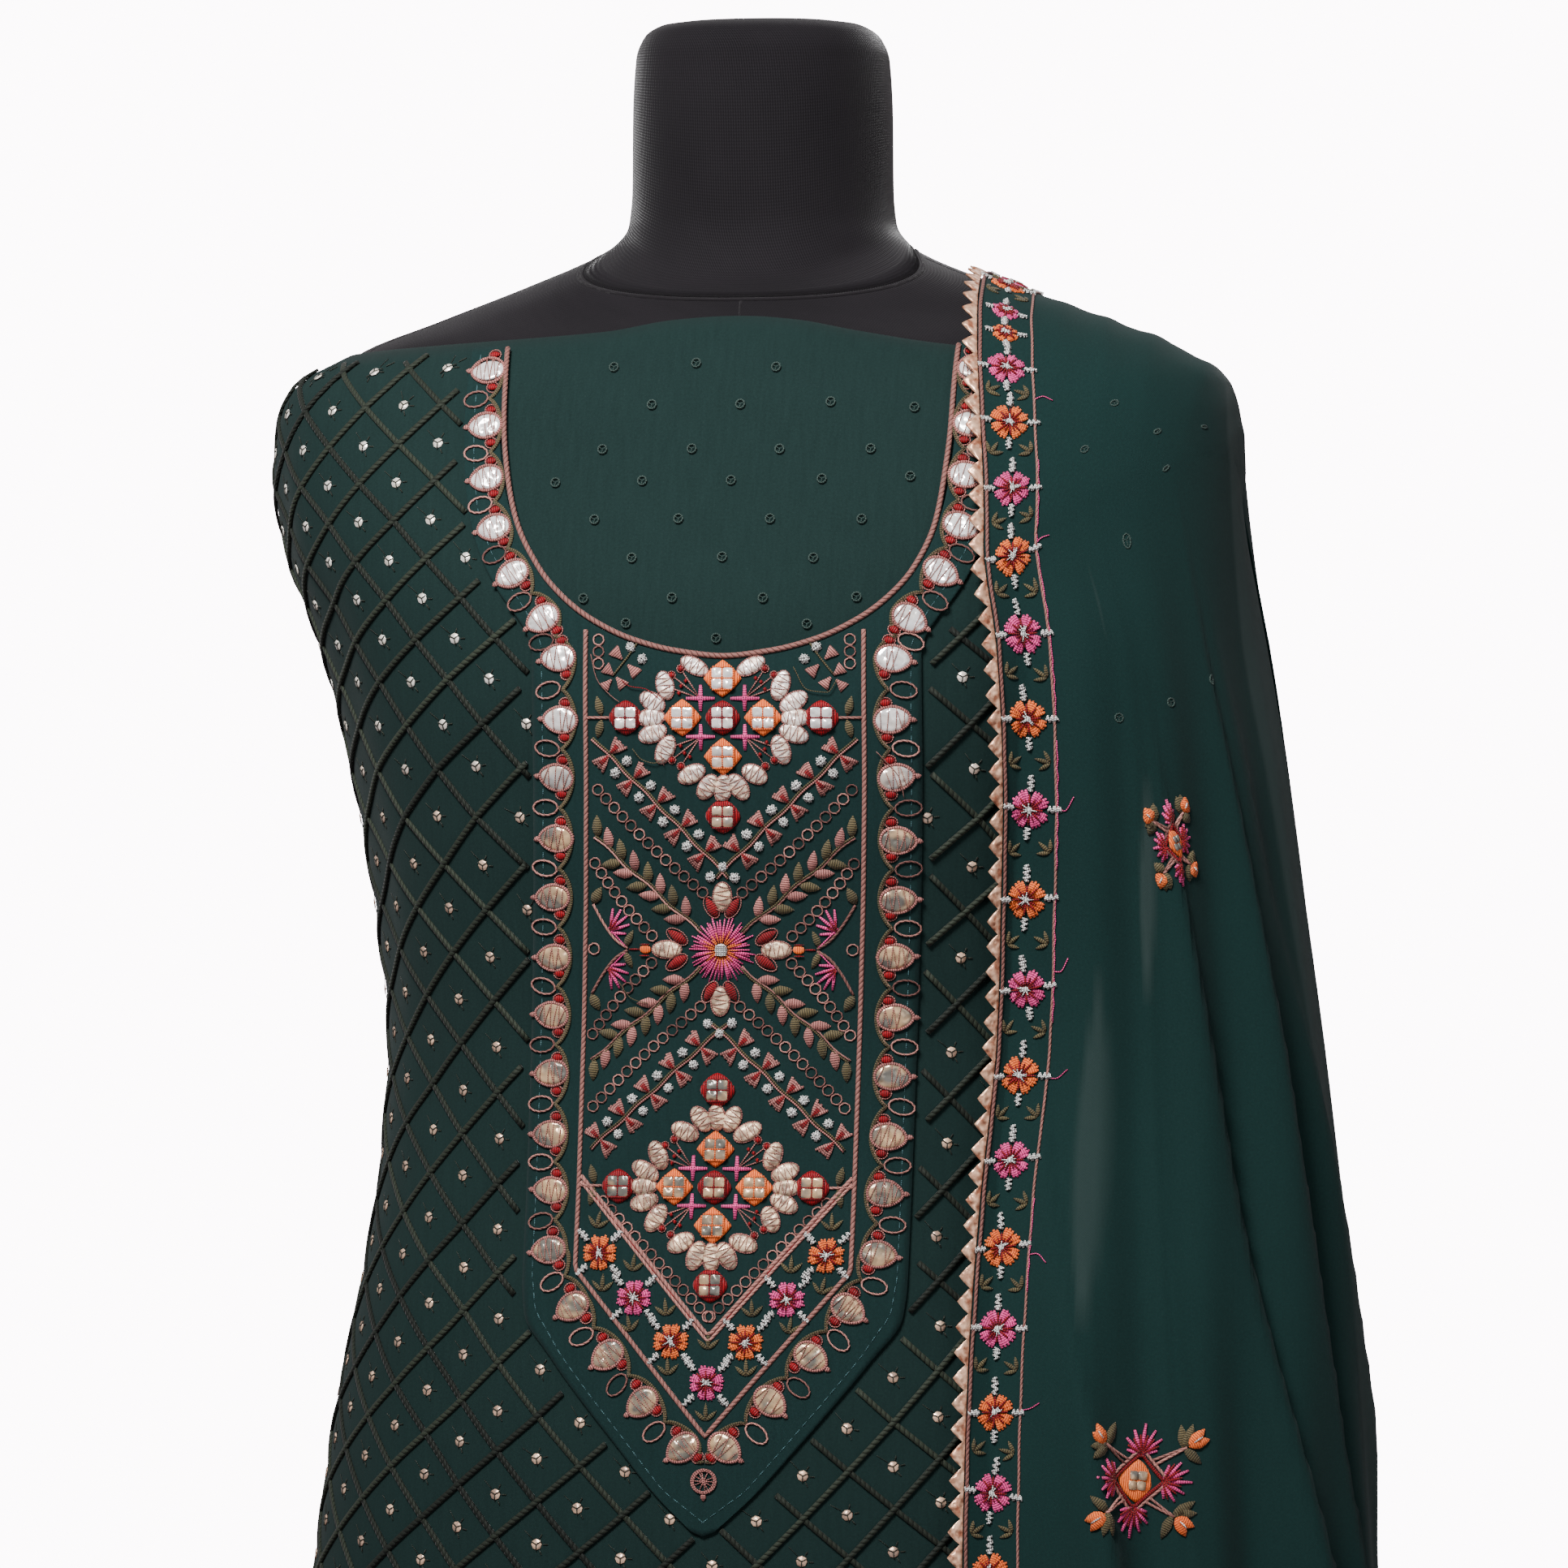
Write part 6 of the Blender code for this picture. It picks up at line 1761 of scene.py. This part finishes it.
def makeLowerBand():
    # florets joined by silver sticks in the space between the two cord Vs
    places = [(0.0487, 1.0245, orange), (0.0328, 1.0060, pink), (0.0160, 0.9878, orange), (0.0, 0.9706, pink)]
    spin = math.radians(45)
    for x, z, bag in places:
        for side in ((1, -1) if x else (1,)):
            floret(onPanel, side * x, z, 0.0155, bag, spin)
            for a in spin + np.arange(4) * quarterTurn:
                silverBar(onPanel, *away(side * x, z, 0.0076, a), 0.0064, a)
    marks = metres([(34, 1017), (47, 1008.2), (18.5, 998.5), (34, 991.5), (50.5, 1035), (16.8, 973.5)])
    for side in (1, -1):
        for x, z in marks:
            triple(onPanel, side * x, z, quarterTurn + side * dice.normal(0, 0.15))
    for z in (0.9845, 0.9545):
        triple(onPanel, 0.0, z, quarterTurn)


def looseThreads():
    # ends that the machine left between motifs, not trimmed
    curls = (
        (rose, ((-56.5, 1280), (-54, 1270), (-47.5, 1262.5), (-44, 1260))),
        (red, ((-43, 1269), (-39.5, 1266.5), (-33, 1265.5), (-26.5, 1261))),
        (olive, ((-38.5, 1240.5), (-34.5, 1236), (-29, 1234.5), (-25, 1236.5))),
        (olive, ((30, 1274.5), (36, 1265), (44, 1264), (48, 1269))),
        (rose, ((64, 1239.5), (69, 1234), (73.5, 1228), (75.2, 1220))),
        (olive, ((-44, 1141.5), (-38, 1134), (-31, 1132))),
        (rose, ((-26, 1240.5), (-26.2, 1237), (-25, 1233.5))),
    )
    for bag, line in curls:
        cordAlong(bag, metres(line), 0.0002, 0.0002, ground + 0.0016, True, 0.0015)


# small round three-part marks, scattered over the yoke
faintYoke = metres([
    (-16, 1406), (-52, 1404.5), (19, 1404), (-33.5, 1387.7), (5, 1387.7), (44, 1388.5), (80, 1386),
    (-53.5, 1368.3), (-14.5, 1368.3), (23.5, 1368), (62.5, 1368), (-73, 1354), (-35, 1354.5), (3.5, 1354.5),
    (42.5, 1355), (80, 1356), (-54.5, 1337.8), (-18, 1338), (21.5, 1337.8), (60.5, 1337.6), (-37, 1321.2),
    (2, 1321.5), (41, 1321), (-57, 1304), (-18.5, 1304.2), (20.5, 1304), (60, 1304.4), (-38, 1293.5), (1, 1287),
    (39.5, 1293),
])


def makeFaintMarks(places, surface, high):
    # a small ring with three short stitches inside it at each place
    x, z = places.T
    rings(faint, x, z, 0.0019, high=high + 0.0001, corners=9, surface=surface)
    for spin in np.radians([30, 150, 270]):
        bars(faint, x, z, 0.0017, 0.0004, spin, 0.0002, high + 0.0001, surface)


makeNecklineCords()
makeMirrorWork()
looseThreads()
makeRunningStitch()
makeFlower()
makeChains()
makeSprays()
makeBands()
makeClusters()
makeLowerBand()
makeFaintMarks(faintYoke, onFront, body["lay"])
panelThreads = pourThreads("panel")
print("neckline and panel worked")


# the dupatta's border and scattered motifs, worked on the chiffon
border = {
    "cordAt": 0.0006, "farCordAt": 0.0236, "middle": 0.0119, "floret": 0.0172, "endRoom": 0.012,
    "backPitch": 0.0342, "frontPitch": 0.0356,
}
# how far down the inner edge each floret of the front lies, from the shoulder: orange and pink in turn
borderFront = metres([
    28, 62, 79, 101, 130, 162.5, 194.4, 226.8, 262.8, 301.7, 340.9, 379.7, 416.9, 453.4, 490.9, 525.6, 561.1,
    595.1, 628.3,
])


def onBorder(x, z):
    # x in from the dupatta's inner edge and z up along it, 0 on the shoulder and less than 0 in front
    return onFall(x, -z)


def makeBorder():
    # florets in turn orange and pink, silver sticks round each, leaves between them and two cords beside them
    last = edgeDown[0] - border["endRoom"]
    front = np.arange(borderFront[-1] + border["frontPitch"], last, border["frontPitch"])
    front = np.concatenate([borderFront, front])
    last = edgeDown[-1] + border["endRoom"]
    back = np.arange(borderFront[0] - border["backPitch"], last, -border["backPitch"])
    places = np.concatenate([back[::-1], front])
    for number, down in enumerate(places, -len(back)):
        close = 0.72 if 0.06 < down < 0.10 else 1.0
        tilt = dice.normal(0, 0.06)
        size = border["floret"] * close * dice.uniform(0.96, 1.04)
        x, z = border["middle"] + dice.normal(0, 0.0003), -down
        floret(onBorder, x, z, size, pink if number % 2 else orange, tilt, 0.0)
        for quarter, long in enumerate((0.0060, 0.0078, 0.0052, 0.0056)):
            a = tilt + quarter * quarterTurn + dice.normal(0, 0.05)
            long = long * dice.uniform(0.94, 1.06) * close
            silverBar(onBorder, *away(x, z, size * 0.46, a), long, a, 0.0)
    near, far = border["cordAt"], border["farCordAt"]
    for down in ((places[1:] + places[:-1]) / 2)[np.diff(places) > 0.026]:
        for x, spin in ((near + 0.0022, 0.55), (far - 0.0022, math.pi - 0.45)):
            z = -down + dice.normal(0, 0.0006)
            triple(onBorder, x, z, spin + dice.normal(0, 0.18), 0.0062, 0.0)
    down = np.arange(edgeDown[-1] + 0.001, edgeDown[0] - 0.001, 0.0042)
    wave = 0.0002 * np.sin(down * 41) + 0.00012 * np.sin(down * 173)
    for at, wide in ((near, 0.0008), (far, 0.0006)):
        stitch(rose, onBorder, at + wave, -down, 0.0004, wide, wide * 0.9, 6)
    # the pink of the florets is carried along the outer cord here and there
    for start, end in metres([(150, 262), (272, 330), (338, 395), (470, 512), (-300, -160), (-620, -440)]):
        at = np.arange(start, end, 0.004)
        stitch(pink, onBorder, far + 0.0006 + 0.0003 * np.sin(at * 900), -at, 0.0006, 0.0003, 0.0003, 4)


def looseEnds():
    # short thread ends left at the border's outer cord
    far = border["farCordAt"] + 0.0005
    for down in metres([118, 192, 300, 372, 418, 494, 560]):
        reach = dice.uniform(0.004, 0.009)
        drift = dice.normal(0, 0.002), dice.normal(0.001, 0.003)
        line = [(far, -down), (far + reach * 0.4, -down + drift[0]), (far + reach, -down + drift[1])]
        cordAlong(pink, line, 0.00022, 0.00022, 0.0005, True, 0.0015, surface=onBorder)


def makeMotif(x, z, size, squeeze, spin):
    # a mirror in an orange frame inside a diamond of cord, sprigs on its sides and a bud with leaves at each corner
    shape = np.array([squeeze * size, size])

    def onMotif(u, v):
        # a place by its offset from the motif's middle, squeezed and turned with it
        u, v = np.asarray(u, float) * shape[0], np.asarray(v, float) * shape[1]
        return onBorder(*turned(x, z, u, v, spin))

    for reach, bag, wide in ((0.0125, red, 0.0008), (0.0150, rose, 0.0007)):
        ring = np.array([(1, 0), (0, 0.92), (-1, 0), (0, -0.92), (1, 0)]) * reach
        cordAlong(bag, ring, wide, wide, 0.0005, surface=onMotif)
    profile = [(0.96, 0.0), (1.0, 0.0006), (0.84, 0.0012), (0.6, 0.0014)]
    studs(orange, onMotif, [0.0], [0.0], ovalOutline(0.0096, 0.0092, 16, 1.3) * shape, profile, spin, 0.0)
    pane, profile = ovalOutline(0.0021, 0.0020, 8, 6.0) * shape, [(0.98, 0.0), (1.0, 0.0005), (0.94, 0.0007)]
    for sx, sz in fourWays:
        studs(mirrors, onMotif, [sx * 0.0022], [sz * 0.0021], pane, profile, spin, 0.0012)
        a = math.atan2(sz * 0.75, sx)
        for off in (-0.0009, 0.0009):
            line = [(sx * 0.006 - off * sz, sz * 0.0075 + off * sx), (sx * 0.0195, sz * 0.0145)]
            cordAlong(rose, line, 0.0006, 0.0006, 0.0006, surface=onMotif)
        u, v = sx * 0.0185, sz * 0.0138
        turn = a + np.array([-1.25, 1.25, 0.75])
        leaves(olive, u, v, 0.0105, 0.0050, turn, 0.0008, 0.0004, surface=onMotif)
        turn = a + np.array([-0.3, 0.26])
        leaves(orange, *away(u, v, 0.002, a), 0.0092, 0.0056, turn, 0.0010, 0.0006, surface=onMotif)
        bars(silver, *away(u, v, 0.0045, a), 0.0042, 0.0008, a, 0.0004, 0.0016, onMotif)
    reach = metres([7.2, 10.4, 11.2, 12.8, 11.2, 10.4, 7.2])
    for a in (0.0, quarterTurn, math.pi, -quarterTurn):
        u, v = 0.0120 * math.cos(a), 0.0112 * math.sin(a)
        bars(pink, u, v, reach, 0.0019, a + np.radians([-78, -52, -26, 0, 26, 52, 78]), 0.0007, 0.0004, onMotif)
        turn = a + np.radians([-65, -38, -13, 13, 38, 65])
        bars(red, u, v, 0.0082, 0.0013, turn, 0.0005, 0.0010, onMotif)


faintFall = metres([
    (60, -125), (83, -152), (46, -150), (68, -205), (96, -190), (52, -262), (104, -245), (78, -255),
    (110, -150),
])
# each scattered motif: in from the inner edge, up along it from the shoulder, size, share of its width, turn
motifs = metres([
    (85, -590, 1, 1, -0.06), (76.4, -316.3, 0.8, 0.52, 0.22), (135, -745, 1, 1, 0.1), (78, -885, 1, 1, -0.1),
    (90, 330, 1, 1, 0.1), (150, 480, 1, 1, -0.2), (80, 620, 1, 1, 0), (145, 780, 1, 1, 0.15), (82, 930, 1, 1, -0.1),
], 2, 3, 4)
makeBorder()
looseEnds()
for inward, up, size, squeeze, spin in motifs:
    makeMotif(inward, up, size, squeeze, spin)
makeFaintMarks(faintFall, onBorder, 0.0)
borderThreads = pourThreads("border")
print("dupatta's border worked")


# floor, light and camera
light = {"key": 10.5, "fill": 14.0, "rim": 16.0, "world": 0.36, "glow": 12.0, "floor": 4.0}
camera = {"target": (0.00936, 0.0, 1.22412), "azimuth": 8.5, "elevation": 0.5, "distance": 3.0, "frame": 0.6955}


def floorMaterial():
    # a pale floor, faintly speckled
    made, tree, shader = newMaterial("paleFloor", 0.7, specular=0.2)
    speckle = noise(tree, ownPlace(tree), 60.0, 4.0)
    base = blend(tree, speckle, colour(232, 226, 229), colour(244, 238, 241))
    dress(tree, shader, base, 0.7, speckle, 0.0002)
    return made


def makeStage():
    # a round floor, small enough that the open white studio is all that stands behind the suit
    reach = np.linspace(0, light["floor"], 12)[:, None]
    turn = np.linspace(0, fullTurn, 73)[None, :]
    x, y = reach * np.cos(turn), reach * np.sin(turn)
    points = np.stack(np.broadcast_arrays(x, y, 0.0), axis=-1)[1:, :-1]
    index = np.arange(points.size // 3).reshape(points.shape[:2])
    around = np.roll(index, -1, 1)
    quads = np.stack([index[:-1], index[1:], around[1:], around[:-1]], axis=-1).reshape(-1, 4)
    mesh = bpy.data.meshes.new("floor")
    mesh.from_pydata(points.reshape(-1, 3).tolist(), [], quads.tolist() + [index[0].tolist()])
    mesh.shade_smooth()
    mesh.materials.append(floorMaterial())
    floor = addPiece("floor", mesh)


def addLight(name, place, aim, size, power, spread=180.0):
    # a soft box that looks from its place at its aim; a narrow spread fades towards the sides of its beam
    lamp = bpy.data.lights.new(name, "AREA")
    lamp.shape, lamp.size, lamp.size_y = "RECTANGLE", size[0], size[1]
    lamp.energy, lamp.spread = power, math.radians(spread)
    made = addPiece(name, lamp)
    way = np.array(aim, float) - np.array(place, float)
    flat = math.hypot(way[0], way[1])
    made.location = place
    made.rotation_euler = (math.atan2(flat, -way[2]), 0, math.atan2(-way[0], way[1]))
    made.visible_camera = False


def makeLights():
    # a narrow key from high in front, a broad fill from one side and a rim light from behind
    addLight("keyBox", (-0.45, -1.9, 2.95), (0, 0, 1.28), (1.0, 0.8), light["key"], 38.0)
    addLight("fillBox", (2.4, -2.2, 1.5), (0, 0, 1.1), (1.8, 2.2), light["fill"])
    addLight("rimBox", (0.4, 2.4, 2.6), (0, 0, 1.2), (2.4, 1.2), light["rim"])
    # the open studio is white to the eye and dimmer as light, so that it spills little on the dark cloth
    world = bpy.data.worlds.new("studio")
    world.use_nodes = True
    tree = world.node_tree
    background = tree.nodes["Background"]
    background.inputs["Color"].default_value = colour(255, 246, 251)
    toEye = nodeIn(tree, "LightPath").outputs["Is Camera Ray"]
    plug(tree, background.inputs["Strength"], ranged(tree, toEye, 0.0, 1.0, light["world"], light["glow"]))
    bpy.context.scene.world = world


def makeCamera():
    # stands back from its target along the way it looks, with a lens that frames the given width
    azimuth, elevation = math.radians(camera["azimuth"]), math.radians(camera["elevation"])
    level = math.cos(elevation)
    way = np.array([-math.sin(azimuth) * level, math.cos(azimuth) * level, -math.sin(elevation)])
    eye = bpy.data.cameras.new("studioCamera")
    eye.sensor_width = 36.0
    eye.lens = 36.0 * camera["distance"] / camera["frame"]
    eye.clip_start, eye.clip_end = 0.05, 60.0
    made = addPiece("studioCamera", eye)
    made.location = np.array(camera["target"]) - way * camera["distance"]
    made.rotation_euler = (quarterTurn - elevation, 0, azimuth)
    bpy.context.scene.camera = made


makeStage()
makeLights()
makeCamera()
print("stage made")
